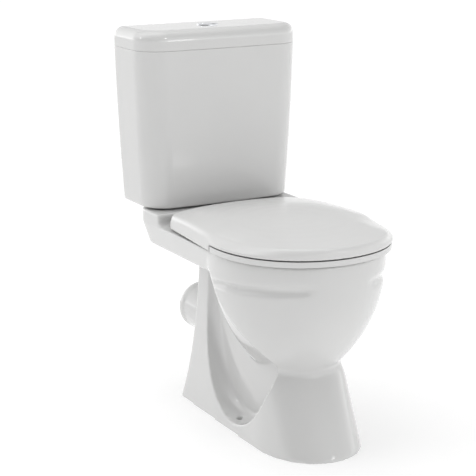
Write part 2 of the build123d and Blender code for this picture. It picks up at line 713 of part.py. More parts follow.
# Cistern: tapered tank with a bowed front
with BuildPart() as cistern:
    for rise in (0.0, 0.5, 1.0):
        with BuildSketch(Plane.XY.offset(CISTERN_Z + CISTERN_HEIGHT * rise)) as tank_outline:
            with BuildLine():
                tank_edges(rise, 0.0)
            make_face()
            fillet(tank_outline.vertices().group_by(Axis.Y)[-1], CISTERN_REAR_CORNER)
            fillet(tank_outline.vertices().group_by(Axis.Y)[0], CISTERN_FRONT_CORNER)
    loft()
    fillet(cistern.faces().sort_by(Axis.Z)[0].edges(), CISTERN_EDGE_ROUND)
    fillet(cistern.faces().sort_by(Axis.Z)[-1].edges(), CISTERN_JOINT_ROUND)
    for rise in (FLOOR_RISE, (FLOOR_RISE + 1) / 2, 1.0):
        with BuildSketch(Plane.XY.offset(CISTERN_Z + CISTERN_HEIGHT * rise)) as tank_inside:
            with BuildLine():
                tank_edges(rise, CISTERN_WALL)
            make_face()
            fillet(tank_inside.vertices().group_by(Axis.Y)[-1], CISTERN_REAR_CORNER - CISTERN_WALL)
            fillet(tank_inside.vertices().group_by(Axis.Y)[0], CISTERN_FRONT_CORNER - CISTERN_WALL)
    loft(mode=Mode.SUBTRACT)
    with Locations((0, y_at(VALVE_FROM_WALL), TANK_FLOOR_Z)):
        Hole(VALVE_HOLE_RADIUS, depth=2 * CISTERN_FLOOR)
        with GridLocations(COUPLING_SPACING, 0, 2, 1):
            Hole(COUPLING_HOLE_RADIUS, depth=2 * CISTERN_FLOOR)
    with Locations((FILL_OFFSET, y_at(FILL_FROM_WALL), TANK_FLOOR_Z)):
        Hole(FILL_HOLE_RADIUS, depth=2 * CISTERN_FLOOR)
cistern.part.label = "cistern"
export_step(cistern.part, "parts/cistern.step")

# Cistern lid, with a lip that drops inside the tank
LIP_INSET = CISTERN_WALL + CISTERN_LID_LIP_CLEARANCE
with BuildPart() as cistern_lid:
    with BuildSketch(Plane.XY.offset(CISTERN_TOP_Z)) as lid_plan:
        with BuildLine():
            tank_edges(1.0, 0.0)
        make_face()
        fillet(lid_plan.vertices().group_by(Axis.Y)[-1], CISTERN_REAR_CORNER)
        fillet(lid_plan.vertices().group_by(Axis.Y)[0], CISTERN_FRONT_CORNER)
    extrude(amount=CISTERN_LID_HEIGHT)
    fillet(cistern_lid.faces().sort_by(Axis.Z)[-1].edges(), CISTERN_LID_ROUND)
    fillet(cistern_lid.faces().sort_by(Axis.Z)[0].edges(), CISTERN_JOINT_ROUND)
    with BuildSketch(Plane.XY.offset(CISTERN_TOP_Z)) as lip_plan:
        with BuildLine():
            tank_edges(1.0, LIP_INSET)
        make_face()
        fillet(lip_plan.vertices().group_by(Axis.Y)[-1], CISTERN_REAR_CORNER - LIP_INSET)
        fillet(lip_plan.vertices().group_by(Axis.Y)[0], CISTERN_FRONT_CORNER - LIP_INSET)
    extrude(amount=-CISTERN_LID_LIP)
    with BuildSketch(Plane.XY.offset(CISTERN_TOP_Z - CISTERN_LID_LIP)) as lid_inside:
        with BuildLine():
            tank_edges(1.0, LIP_INSET + CISTERN_LID_LIP)
        make_face()
        fillet(lid_inside.vertices().group_by(Axis.Y)[0], CISTERN_FRONT_CORNER - LIP_INSET - CISTERN_LID_LIP)
    extrude(amount=LID_CEILING_Z - CISTERN_TOP_Z + CISTERN_LID_LIP, mode=Mode.SUBTRACT)
    with Locations((0, y_at(BUTTON_FROM_WALL), LID_TOP_Z)):
        Hole(BUTTON_HOLE_RADIUS, depth=2 * CISTERN_LID_ROOF)
cistern_lid.part.label = "cistern_lid"
export_step(cistern_lid.part, "parts/cistern_lid.step")


def lid_half_width(from_wall):
    """Half width of the seat lid on its straight flanks."""
    return between(LID_REAR_HALF_WIDTH, LID_HALF_WIDTH, (from_wall - LID_REAR) / (LID_WIDEST - LID_REAR))


# Levels of the seat, and the places of its hinge pieces from the middle outwards
SEAT_Z = RIM_HEIGHT + SEAT_LIFT
SEAT_TOP_Z = SEAT_Z + SEAT_THICKNESS
LID_EDGE_Z = SEAT_TOP_Z + LID_GAP
LID_CROWN_Z = RIM_HEIGHT + LID_CROWN
HINGE_Z = RIM_HEIGHT + HINGE_RISE
HINGE_Y = y_at(HINGE_FROM_WALL)
POST_X = HINGE_SPACING / 2
LUG_STEP = (HINGE_POST_WIDTH + HINGE_LUG_WIDTH) / 2 + HINGE_SIDE_GAP
SEAT_LUGS_X = (POST_X - LUG_STEP, POST_X + LUG_STEP)
LID_LUG_X = POST_X + LUG_STEP + HINGE_LUG_WIDTH + HINGE_SIDE_GAP
SKIRT_TUCK = LID_WALL + LID_SKIRT_CLEARANCE
ARM_FRONT = SEAT_REAR + HINGE_EYE_RADIUS

# Seat ring, drawn in along its rear flanks where the lid's skirt comes down over it
with BuildPart() as seat_ring:
    with BuildSketch(Plane.XY.offset(SEAT_Z)) as ring_plan:
        with BuildLine():
            slab_edges(
                LID_HALF_WIDTH - SEAT_INSET,
                LID_WIDEST,
                PROJECTION - SEAT_INSET,
                LID_FULLNESS,
                lid_half_width(SEAT_REAR) - SEAT_INSET,
                SEAT_REAR,
            )
        make_face()
        for side in (1, -1):
            skirt_end = LID_SKIRT_END + LID_SKIRT_CLEARANCE
            with BuildLine():
                Polyline(
                    (side * (lid_half_width(skirt_end) - SKIRT_TUCK), y_at(skirt_end)),
                    (side * (lid_half_width(SEAT_REAR) - SKIRT_TUCK), y_at(SEAT_REAR)),
                    (side * LID_HALF_WIDTH, y_at(SEAT_REAR)),
                    (side * LID_HALF_WIDTH, y_at(skirt_end)),
                    close=True,
                )
            make_face(mode=Mode.SUBTRACT)
        fillet(ring_plan.vertices().group_by(Axis.Y)[-1], SEAT_REAR_CORNER)
        with BuildLine():
            egg_edges(
                SEAT_HOLE_HALF_WIDTH,
                SEAT_HOLE_REAR,
                SEAT_HOLE_WIDEST,
                SEAT_HOLE_FRONT,
                BOWL_FULLNESS,
                BOWL_FULLNESS,
            )
        make_face(mode=Mode.SUBTRACT)
    extrude(amount=SEAT_THICKNESS)
    across = seat_ring.edges().filter_by_position(Axis.X, -SEAT_HOLE_HALF_WIDTH - 1, SEAT_HOLE_HALF_WIDTH + 1)
    inside = across.filter_by_position(Axis.Y, y_at(SEAT_HOLE_FRONT) - 1, y_at(SEAT_HOLE_REAR) + 1)
    fillet(inside.filter_by(Axis.Z, reverse=True), SEAT_EDGE_ROUND)
    for lug_x in SEAT_LUGS_X:
        with Locations((lug_x, HINGE_Y, HINGE_Z), (-lug_x, HINGE_Y, HINGE_Z)):
            Cylinder(HINGE_EYE_RADIUS, HINGE_LUG_WIDTH, rotation=ALONG_X)
        with Locations((lug_x, HINGE_Y, SEAT_TOP_Z), (-lug_x, HINGE_Y, SEAT_TOP_Z)):
            Box(
                HINGE_LUG_WIDTH,
                ARM_FRONT - HINGE_FROM_WALL,
                HINGE_ARM_HEIGHT,
                align=(Align.CENTER, Align.MAX, Align.MAX),
            )
    with Locations((0, HINGE_Y, HINGE_Z)):
        Cylinder(
            HINGE_PIN_RADIUS + RUNNING_FIT, 2 * LID_REAR_HALF_WIDTH, rotation=ALONG_X, mode=Mode.SUBTRACT
        )
seat_ring.part.label = "seat_ring"
export_step(seat_ring.part, "parts/seat_ring.step")

# Space under the seat lid
with BuildPart() as lid_space:
    with BuildSketch(Plane.XY.offset(RIM_HEIGHT)) as space_plan:
        with BuildLine():
            slab_edges(
                LID_HALF_WIDTH - LID_WALL,
                LID_WIDEST,
                PROJECTION - LID_WALL,
                LID_FULLNESS,
                LID_REAR_HALF_WIDTH - LID_WALL,
                LID_REAR + LID_WALL,
            )
        make_face()
        fillet(space_plan.vertices().group_by(Axis.Y)[-1], LID_REAR_CORNER - LID_WALL)
    extrude(amount=2 * LID_CROWN)
    with Locations((0, y_at(LID_WIDEST), LID_CROWN_Z - LID_CROWN_RADIUS)):
        Sphere(LID_CROWN_RADIUS - LID_WALL, mode=Mode.INTERSECT)
    fillet(lid_space.faces().sort_by(Axis.Z)[-1].edges(), LID_EDGE_ROUND - LID_WALL)

# Seat lid: a shallow dome with a thin edge all round and deeper skirts along its rear flanks
with BuildPart() as lid_dome:
    with BuildSketch(Plane.XY.offset(RIM_HEIGHT + LID_SKIRT_LIFT)) as dome_plan:
        with BuildLine():
            slab_edges(LID_HALF_WIDTH, LID_WIDEST, PROJECTION, LID_FULLNESS, LID_REAR_HALF_WIDTH, LID_REAR)
        make_face()
        fillet(dome_plan.vertices().group_by(Axis.Y)[-1], LID_REAR_CORNER)
    extrude(amount=2 * LID_CROWN)
    with Locations((0, y_at(LID_WIDEST), LID_CROWN_Z - LID_CROWN_RADIUS)):
        Sphere(LID_CROWN_RADIUS, mode=Mode.INTERSECT)
    fillet(lid_dome.faces().sort_by(Axis.Z)[-1].edges(), LID_EDGE_ROUND)

# Bosses for the lid's pads and its two hinge lugs, up to the top of the dome
LID_PAD_Z = SEAT_TOP_Z + PAD_GAP + LID_PAD_HEIGHT
with BuildPart() as lid_bosses:
    with Locations((0, y_at(LID_PAD_FROM_WALL), LID_PAD_Z)):
        with GridLocations(LID_PAD_SPACING, 0, 2, 1):
            Cylinder(PAD_RADIUS, LID_CROWN, align=ON)
    with Locations((LID_LUG_X, HINGE_Y, HINGE_Z), (-LID_LUG_X, HINGE_Y, HINGE_Z)):
        Cylinder(HINGE_EYE_RADIUS, HINGE_LUG_WIDTH, rotation=ALONG_X)
        Box(HINGE_LUG_WIDTH, 2 * HINGE_EYE_RADIUS, LID_CROWN, align=ON)
    add(lid_dome.part, mode=Mode.INTERSECT)

with BuildPart() as seat_lid:
    add(lid_dome.part)
    add(lid_space.part, mode=Mode.SUBTRACT)
    with Locations((0, y_at(LID_SKIRT_END), LID_EDGE_Z)):
        Box(PROJECTION, PROJECTION, LID_CROWN, align=(Align.CENTER, Align.MAX, Align.MAX), mode=Mode.SUBTRACT)
    with Locations((0, y_at(LID_SKIRT_START), LID_EDGE_Z)):
        Box(PROJECTION, PROJECTION, LID_CROWN, align=(Align.CENTER, Align.MIN, Align.MAX), mode=Mode.SUBTRACT)
    add(lid_bosses.part)
    with Locations((0, HINGE_Y, HINGE_Z + HINGE_EYE_RADIUS + LID_NOTCH_CLEARANCE)):
        with GridLocations(HINGE_SPACING, 0, 2, 1):
            Box(
                HINGE_POST_WIDTH + 2 * LID_NOTCH_CLEARANCE,
                2 * (HINGE_FROM_WALL - LID_REAR),
                LID_CROWN,
                align=(Align.CENTER, Align.MIN, Align.MAX),
                mode=Mode.SUBTRACT,
            )
    with Locations((0, HINGE_Y, HINGE_Z)):
        Cylinder(
            HINGE_PIN_RADIUS + RUNNING_FIT,
            2 * (LID_LUG_X + HINGE_LUG_WIDTH),
            rotation=ALONG_X,
            mode=Mode.SUBTRACT,
        )
seat_lid.part.label = "seat_lid"
export_step(seat_lid.part, "parts/seat_lid.step")

# Rubber pads: four under the seat ring, two under the lid
with BuildPart() as seat_buffers:
    with Locations((0, y_at(REAR_PAD_FROM_WALL), SEAT_Z)):
        with GridLocations(REAR_PAD_SPACING, 0, 2, 1):
            Cylinder(PAD_RADIUS, SEAT_LIFT - PAD_GAP, align=UNDER)
    with Locations((0, y_at(FRONT_PAD_FROM_WALL), SEAT_Z)):
        with GridLocations(FRONT_PAD_SPACING, 0, 2, 1):
            Cylinder(PAD_RADIUS, SEAT_LIFT - PAD_GAP, align=UNDER)
seat_buffers.part.label = "seat_buffers"
export_step(seat_buffers.part, "parts/seat_buffers.step")

with BuildPart() as lid_buffers:
    with Locations((0, y_at(LID_PAD_FROM_WALL), SEAT_TOP_Z + PAD_GAP)):
        with GridLocations(LID_PAD_SPACING, 0, 2, 1):
            Cylinder(PAD_RADIUS, LID_PAD_HEIGHT, align=ON)
lid_buffers.part.label = "lid_buffers"
export_step(lid_buffers.part, "parts/lid_buffers.step")

# Hinge posts, standing on the deck behind the seat
with BuildPart() as hinge_posts:
    with Locations((0, HINGE_Y, RIM_HEIGHT)):
        with GridLocations(HINGE_SPACING, 0, 2, 1):
            Cylinder(HINGE_FOOT_RADIUS, HINGE_FOOT_HEIGHT, align=ON)
            Box(HINGE_POST_WIDTH, 2 * HINGE_EYE_RADIUS, HINGE_RISE, align=ON)
    with Locations((0, HINGE_Y, HINGE_Z)):
        with GridLocations(HINGE_SPACING, 0, 2, 1):
            Cylinder(HINGE_EYE_RADIUS, HINGE_POST_WIDTH, rotation=ALONG_X)
        Cylinder(HINGE_PIN_RADIUS + CLOSE_FIT, 2 * LID_REAR_HALF_WIDTH, rotation=ALONG_X, mode=Mode.SUBTRACT)
    with Locations((0, HINGE_Y, RIM_HEIGHT)):
        with GridLocations(HINGE_SPACING, 0, 2, 1):
            Cylinder(HINGE_STUD_RADIUS + CLOSE_FIT, HINGE_STUD_GRIP, align=ON, mode=Mode.SUBTRACT)
hinge_posts.part.label = "hinge_posts"
export_step(hinge_posts.part, "parts/hinge_posts.step")

# Hinge pins, each through a post, two seat lugs and one lid lug
PIN_INNER = SEAT_LUGS_X[0] - HINGE_LUG_WIDTH / 2 - 2 * HINGE_SIDE_GAP
PIN_OUTER = LID_LUG_X + HINGE_LUG_WIDTH / 2 + 2 * HINGE_SIDE_GAP
PIN_MIDDLE = (PIN_INNER + PIN_OUTER) / 2
with BuildPart() as hinge_pins:
    with Locations((PIN_MIDDLE, HINGE_Y, HINGE_Z), (-PIN_MIDDLE, HINGE_Y, HINGE_Z)):
        Cylinder(HINGE_PIN_RADIUS, PIN_OUTER - PIN_INNER, rotation=ALONG_X)
hinge_pins.part.label = "hinge_pins"
export_step(hinge_pins.part, "parts/hinge_pins.step")

with BuildPart() as hinge_studs:
    with Locations((0, HINGE_Y, RIM_HEIGHT + HINGE_STUD_GRIP)):
        with GridLocations(HINGE_SPACING, 0, 2, 1):
            Cylinder(HINGE_STUD_RADIUS, HINGE_STUD_LENGTH, align=UNDER)
hinge_studs.part.label = "hinge_studs"
export_step(hinge_studs.part, "parts/hinge_studs.step")

with BuildPart() as hinge_washers:
    with Locations((0, HINGE_Y, DECK_CEILING_Z)):
        with GridLocations(HINGE_SPACING, 0, 2, 1):
            Cylinder(HINGE_WASHER_RADIUS, HINGE_WASHER_HEIGHT, align=UNDER)
            Hole(HINGE_STUD_RADIUS + RUNNING_FIT)
hinge_washers.part.label = "hinge_washers"
export_step(hinge_washers.part, "parts/hinge_washers.step")

with BuildPart() as hinge_wing_nuts:
    with Locations((0, HINGE_Y, DECK_CEILING_Z - HINGE_WASHER_HEIGHT)):
        with GridLocations(HINGE_SPACING, 0, 2, 1):
            Cylinder(WING_HUB_RADIUS, WING_NUT_HEIGHT, align=UNDER)
    with Locations((0, HINGE_Y, DECK_CEILING_Z - HINGE_WASHER_HEIGHT - WING_NUT_HEIGHT)):
        with GridLocations(HINGE_SPACING, 0, 2, 1):
            Box(WING_THICKNESS, WING_SPAN, WING_HEIGHT, align=ON)
            Hole(HINGE_STUD_RADIUS + CLOSE_FIT)
hinge_wing_nuts.part.label = "hinge_wing_nuts"
export_step(hinge_wing_nuts.part, "parts/hinge_wing_nuts.step")

# Coupling between cistern and pan
VALVE_Y = y_at(VALVE_FROM_WALL)
COUPLING_WASHER_Z = TANK_FLOOR_Z + COUPLING_SEAL_HEIGHT
COUPLING_HEAD_Z = COUPLING_WASHER_Z + COUPLING_WASHER_HEIGHT
COUPLING_NUT_Z = SHELF_CEILING_Z - COUPLING_WASHER_HEIGHT
with BuildPart() as coupling_bolts:
    with Locations((0, VALVE_Y, COUPLING_HEAD_Z)):
        with GridLocations(COUPLING_SPACING, 0, 2, 1):
            Cylinder(COUPLING_HEAD_RADIUS, COUPLING_HEAD_HEIGHT, align=ON)
            Cylinder(COUPLING_BOLT_RADIUS, COUPLING_HEAD_Z - SHELF_CEILING_Z + COUPLING_BOLT_END, align=UNDER)
coupling_bolts.part.label = "coupling_bolts"
export_step(coupling_bolts.part, "parts/coupling_bolts.step")

with BuildPart() as coupling_seals:
    with Locations((0, VALVE_Y, TANK_FLOOR_Z)):
        with GridLocations(COUPLING_SPACING, 0, 2, 1):
            Cylinder(COUPLING_WASHER_RADIUS, COUPLING_SEAL_HEIGHT, align=ON)
            Hole(COUPLING_BOLT_RADIUS + RUNNING_FIT)
coupling_seals.part.label = "coupling_seals"
export_step(coupling_seals.part, "parts/coupling_seals.step")

with BuildPart() as coupling_washers:
    with Locations((0, VALVE_Y, COUPLING_WASHER_Z), (0, VALVE_Y, COUPLING_NUT_Z)):
        with GridLocations(COUPLING_SPACING, 0, 2, 1):
            Cylinder(COUPLING_WASHER_RADIUS, COUPLING_WASHER_HEIGHT, align=ON)
            Hole(COUPLING_BOLT_RADIUS + RUNNING_FIT)
coupling_washers.part.label = "coupling_washers"
export_step(coupling_washers.part, "parts/coupling_washers.step")

with BuildPart() as coupling_wing_nuts:
    with Locations((0, VALVE_Y, COUPLING_NUT_Z)):
        with GridLocations(COUPLING_SPACING, 0, 2, 1):
            Cylinder(WING_HUB_RADIUS, WING_NUT_HEIGHT, align=UNDER)
    with Locations((0, VALVE_Y, COUPLING_NUT_Z - WING_NUT_HEIGHT)):
        with GridLocations(COUPLING_SPACING, 0, 2, 1):
            Box(WING_THICKNESS, WING_SPAN, WING_HEIGHT, align=ON)
            Hole(COUPLING_BOLT_RADIUS + CLOSE_FIT)
coupling_wing_nuts.part.label = "coupling_wing_nuts"
export_step(coupling_wing_nuts.part, "parts/coupling_wing_nuts.step")

with BuildPart() as cistern_pads:
    with Locations((0, VALVE_Y, PLATFORM_Z)):
        with GridLocations(CISTERN_PAD_SPACING, 0, 2, 1):
            Cylinder(CISTERN_PAD_RADIUS, CISTERN_GAP, align=ON)
cistern_pads.part.label = "cistern_pads"
export_step(cistern_pads.part, "parts/cistern_pads.step")

with BuildPart() as doughnut_seal:
    with Locations((0, VALVE_Y, INLET_FLOOR_Z)):
        Cylinder(SEAL_RADIUS, CISTERN_Z - INLET_FLOOR_Z, align=ON)
        Hole(VALVE_FLANGE_RADIUS + LOOSE_FIT)
doughnut_seal.part.label = "doughnut_seal"
export_step(doughnut_seal.part, "parts/doughnut_seal.step")

# Flush valve base: threaded tail, flange and the raised lip that the seal closes on
VALVE_FLANGE_Z = TANK_FLOOR_Z + VALVE_WASHER_HEIGHT
CAGE_Z = VALVE_FLANGE_Z + VALVE_FLANGE_HEIGHT
VALVE_LIP_Z = CAGE_Z + VALVE_LIP_HEIGHT
with BuildPart() as flush_valve_base:
    with Locations((0, VALVE_Y, VALVE_FLANGE_Z)):
        Cylinder(VALVE_FLANGE_RADIUS, VALVE_FLANGE_HEIGHT, align=ON)
        Cylinder(VALVE_LIP_RADIUS, VALVE_FLANGE_HEIGHT + VALVE_LIP_HEIGHT, align=ON)
        Cylinder(VALVE_TAIL_RADIUS, VALVE_FLANGE_Z - CISTERN_Z + VALVE_TAIL_LENGTH, align=UNDER)
        Hole(VALVE_BORE_RADIUS)
flush_valve_base.part.label = "flush_valve_base"
export_step(flush_valve_base.part, "parts/flush_valve_base.step")

with BuildPart() as flush_valve_washer:
    with Locations((0, VALVE_Y, TANK_FLOOR_Z)):
        Cylinder(VALVE_FLANGE_RADIUS, VALVE_WASHER_HEIGHT, align=ON)
        Hole(VALVE_TAIL_RADIUS + RUNNING_FIT)
flush_valve_washer.part.label = "flush_valve_washer"
export_step(flush_valve_washer.part, "parts/flush_valve_washer.step")

with BuildPart() as flush_valve_backnut:
    with BuildSketch(Plane.XY.offset(CISTERN_Z)):
        with Locations((0, VALVE_Y)):
            RegularPolygon(VALVE_FLANGE_RADIUS, 6)
            Circle(VALVE_TAIL_RADIUS + CLOSE_FIT, mode=Mode.SUBTRACT)
    extrude(amount=-VALVE_NUT_HEIGHT)
flush_valve_backnut.part.label = "flush_valve_backnut"
export_step(flush_valve_backnut.part, "parts/flush_valve_backnut.step")

# Cage round the valve, open through four windows
with BuildPart() as flush_valve_cage:
    with Locations((0, VALVE_Y, CAGE_Z)):
        Cylinder(CAGE_RADIUS, CAGE_HEIGHT, align=ON)
        Cylinder(CAGE_RADIUS - CAGE_WALL, CAGE_HEIGHT, align=ON, mode=Mode.SUBTRACT)
    with Locations((0, VALVE_Y, CAGE_Z + CAGE_BAND)):
        Box(3 * CAGE_RADIUS, CAGE_WINDOW_WIDTH, CAGE_HEIGHT - 2 * CAGE_BAND, align=ON, mode=Mode.SUBTRACT)
        Box(CAGE_WINDOW_WIDTH, 3 * CAGE_RADIUS, CAGE_HEIGHT - 2 * CAGE_BAND, align=ON, mode=Mode.SUBTRACT)
flush_valve_cage.part.label = "flush_valve_cage"
export_step(flush_valve_cage.part, "parts/flush_valve_cage.step")

# Bridge on top of the cage: guide for the core, and two legs that hold the lever pin
BRIDGE_Z = CAGE_Z + CAGE_HEIGHT
PIVOT_Z = CISTERN_Z + PIVOT_RISE
PIVOT_Y = y_at(PIVOT_FROM_WALL)
SLEEVE_RADIUS = TUBE_RADIUS + RUNNING_FIT + SLEEVE_WALL
LEG_X = BRIDGE_HALF_GAP + BRIDGE_LEG_THICKNESS / 2
with BuildPart() as flush_valve_bridge:
    with Locations((0, VALVE_Y, BRIDGE_Z)):
        Cylinder(CAGE_RADIUS, BRIDGE_PLATE, align=ON)
        Hole(SLEEVE_RADIUS + RUNNING_FIT)
    with Locations((LEG_X, PIVOT_Y, BRIDGE_Z), (-LEG_X, PIVOT_Y, BRIDGE_Z)):
        Box(BRIDGE_LEG_THICKNESS, BRIDGE_LEG_WIDTH, PIVOT_Z - BRIDGE_Z, align=ON)
    with Locations((LEG_X, PIVOT_Y, PIVOT_Z), (-LEG_X, PIVOT_Y, PIVOT_Z)):
        Cylinder(BRIDGE_LEG_WIDTH / 2, BRIDGE_LEG_THICKNESS, rotation=ALONG_X)
    with Locations((0, PIVOT_Y, PIVOT_Z)):
        Cylinder(PIVOT_PIN_RADIUS + CLOSE_FIT, 4 * LEG_X, rotation=ALONG_X, mode=Mode.SUBTRACT)
flush_valve_bridge.part.label = "flush_valve_bridge"
export_step(flush_valve_bridge.part, "parts/flush_valve_bridge.step")

# Overflow tube: the core, with the disc that carries the seal and the catch for the full flush lever
CORE_SEAL_Z = VALVE_LIP_Z + CORE_SEAL_GAP
CORE_DISC_Z = CORE_SEAL_Z + CORE_SEAL_HEIGHT
CATCH_Z = PIVOT_Z + LEVER_TIP_RADIUS + LEVER_GAP
TUBE_TOP_Z = PIVOT_Z + TUBE_ABOVE_PIVOT
CATCH_TOP_Z = CATCH_Z + CATCH_HEIGHT + CATCH_STROKE_GAP
with BuildPart() as overflow_tube:
    with Locations((0, VALVE_Y, CORE_DISC_Z)):
        Cylinder(CORE_DISC_RADIUS, CORE_DISC_HEIGHT, align=ON)
    with Locations((0, VALVE_Y, CATCH_TOP_Z)):
        Cylinder(SLEEVE_RADIUS + LOOSE_FIT, CATCH_HEIGHT, align=ON)
        Box(CATCH_REACH, CATCH_WIDTH, CATCH_HEIGHT, align=(Align.MAX, Align.CENTER, Align.MIN))
    with Locations((-CATCH_REACH, VALVE_Y, CATCH_Z)):
        Box(
            CATCH_REACH - SLEEVE_RADIUS - LOOSE_FIT,
            CATCH_WIDTH,
            CATCH_TOP_Z - CATCH_Z + CATCH_HEIGHT,
            align=(Align.MIN, Align.CENTER, Align.MIN),
        )
    with Locations((0, VALVE_Y, VALVE_LIP_Z - TUBE_BELOW_SEAT)):
        Cylinder(TUBE_RADIUS, TUBE_TOP_Z - VALVE_LIP_Z + TUBE_BELOW_SEAT, align=ON)
        Hole(TUBE_RADIUS - TUBE_WALL)
overflow_tube.part.label = "overflow_tube"
export_step(overflow_tube.part, "parts/overflow_tube.step")

with BuildPart() as valve_seal:
    with Locations((0, VALVE_Y, CORE_SEAL_Z)):
        Cylinder(CORE_DISC_RADIUS, CORE_SEAL_HEIGHT, align=ON)
        Hole(TUBE_RADIUS + CLOSE_FIT)
valve_seal.part.label = "valve_seal"
export_step(valve_seal.part, "parts/valve_seal.step")

# Sleeve on the tube, with the catch for the half flush lever, and the float that it carries
FLOAT_Z = CAGE_Z + FLOAT_RISE
SLEEVE_Z = FLOAT_Z - SLEEVE_FOOT_HEIGHT
with BuildPart() as half_flush_sleeve:
    with Locations((0, VALVE_Y, SLEEVE_Z)):
        Cylinder(SLEEVE_FOOT_RADIUS, SLEEVE_FOOT_HEIGHT, align=ON)
        Cylinder(SLEEVE_RADIUS, CATCH_Z + CATCH_HEIGHT - SLEEVE_Z, align=ON)
    with Locations((0, VALVE_Y, CATCH_Z)):
        Box(CATCH_REACH, CATCH_WIDTH, CATCH_HEIGHT, align=(Align.MIN, Align.CENTER, Align.MIN))
        Hole(TUBE_RADIUS + RUNNING_FIT)
half_flush_sleeve.part.label = "half_flush_sleeve"
export_step(half_flush_sleeve.part, "parts/half_flush_sleeve.step")

with BuildPart() as valve_float:
    with Locations((0, VALVE_Y, FLOAT_Z)):
        Cylinder(FLOAT_RADIUS, FLOAT_HEIGHT, align=ON)
        Hole(SLEEVE_RADIUS + CLOSE_FIT)
valve_float.part.label = "valve_float"
export_step(valve_float.part, "parts/valve_float.step")

# Flush levers: full flush on the left, half flush on the right
BUTTON_Y = y_at(BUTTON_FROM_WALL)
LEVER_WIDTH = LEVER_OUTER - LEVER_INNER
PAD_WIDTH = LEVER_OUTER - LEVER_PAD_INNER
with BuildPart() as full_flush_lever:
    with Locations((-LEVER_OUTER, 0, PIVOT_Z)):
        with Locations((0, (BUTTON_Y + VALVE_Y) / 2, 0)):
            Box(
                LEVER_WIDTH,
                BUTTON_Y - VALVE_Y,
                2 * LEVER_HALF_THICKNESS,
                align=(Align.MIN, Align.CENTER, Align.CENTER),
            )
        with Locations((0, BUTTON_Y, 0)):
            Box(
                PAD_WIDTH,
                LEVER_PAD_LENGTH,
                2 * LEVER_HALF_THICKNESS,
                align=(Align.MIN, Align.CENTER, Align.CENTER),
            )
        with Locations((LEVER_WIDTH / 2, VALVE_Y, 0)):
            Cylinder(LEVER_TIP_RADIUS, LEVER_WIDTH, rotation=ALONG_X)
    with Locations((-(LEVER_INNER + LEVER_HUB_OUTER) / 2, PIVOT_Y, PIVOT_Z)):
        Cylinder(LEVER_HUB_RADIUS, LEVER_HUB_OUTER - LEVER_INNER, rotation=ALONG_X)
        Cylinder(PIVOT_PIN_RADIUS + RUNNING_FIT, 4 * LEG_X, rotation=ALONG_X, mode=Mode.SUBTRACT)
full_flush_lever.part.label = "full_flush_lever"
export_step(full_flush_lever.part, "parts/full_flush_lever.step")

with BuildPart() as half_flush_lever:
    add(mirror(full_flush_lever.part, about=Plane.YZ, mode=Mode.PRIVATE))
half_flush_lever.part.label = "half_flush_lever"
export_step(half_flush_lever.part, "parts/half_flush_lever.step")

with BuildPart() as lever_pin:
    with Locations((0, PIVOT_Y, PIVOT_Z)):
        Cylinder(PIVOT_PIN_RADIUS, 2 * LEG_X + BRIDGE_LEG_THICKNESS + 2 * LOOSE_FIT, rotation=ALONG_X)
lever_pin.part.label = "lever_pin"
export_step(lever_pin.part, "parts/lever_pin.step")

# Button unit: bezel through the lid, with a bored floor that guides the two rods
BEZEL_TOP_Z = LID_TOP_Z + BEZEL_HEIGHT
BEZEL_END_Z = LID_TOP_Z - BEZEL_NECK_LENGTH
SPRING_FOOT_Z = BEZEL_END_Z + BEZEL_FLOOR
BUTTON_TOP_Z = BEZEL_TOP_Z + BUTTON_PROUD
BUTTON_Z = BUTTON_TOP_Z - BUTTON_HEIGHT
with BuildPart() as button_bezel:
    with Locations((0, BUTTON_Y, LID_TOP_Z)):
        Cylinder(BEZEL_RADIUS, BEZEL_HEIGHT, align=ON)
    fillet(button_bezel.faces().sort_by(Axis.Z)[-1].edges(), BEZEL_ROUND)
    with Locations((0, BUTTON_Y, BEZEL_END_Z)):
        Cylinder(BEZEL_NECK_RADIUS, BEZEL_NECK_LENGTH, align=ON)
    with Locations((0, BUTTON_Y, SPRING_FOOT_Z)):
        Cylinder(BEZEL_BORE_RADIUS, 2 * BEZEL_NECK_LENGTH, align=ON, mode=Mode.SUBTRACT)
    with Locations((0, BUTTON_Y, SPRING_FOOT_Z)):
        with GridLocations(2 * ROD_OFFSET, 0, 2, 1):
            Hole(ROD_RADIUS + RUNNING_FIT, depth=2 * BEZEL_FLOOR)
button_bezel.part.label = "button_bezel"
export_step(button_bezel.part, "parts/button_bezel.step")

with BuildPart() as full_flush_button:
    with BuildSketch(Plane((0, BUTTON_Y, BUTTON_Z))):
        Circle(BUTTON_RADIUS)
        with Locations((-BUTTON_SPLIT / 2, 0)):
            Rectangle(
                2 * BUTTON_RADIUS, 2 * BUTTON_RADIUS, align=(Align.MAX, Align.CENTER), mode=Mode.INTERSECT
            )
    extrude(amount=BUTTON_HEIGHT)
    fillet(full_flush_button.faces().sort_by(Axis.Z)[-1].edges(), BUTTON_ROUND)
    with Locations((-ROD_OFFSET, BUTTON_Y, BUTTON_Z)):
        Cylinder(ROD_RADIUS + CLOSE_FIT, ROD_SOCKET, align=ON, mode=Mode.SUBTRACT)
full_flush_button.part.label = "full_flush_button"
export_step(full_flush_button.part, "parts/full_flush_button.step")

with BuildPart() as half_flush_button:
    add(mirror(full_flush_button.part, about=Plane.YZ, mode=Mode.PRIVATE))
half_flush_button.part.label = "half_flush_button"
export_step(half_flush_button.part, "parts/half_flush_button.step")

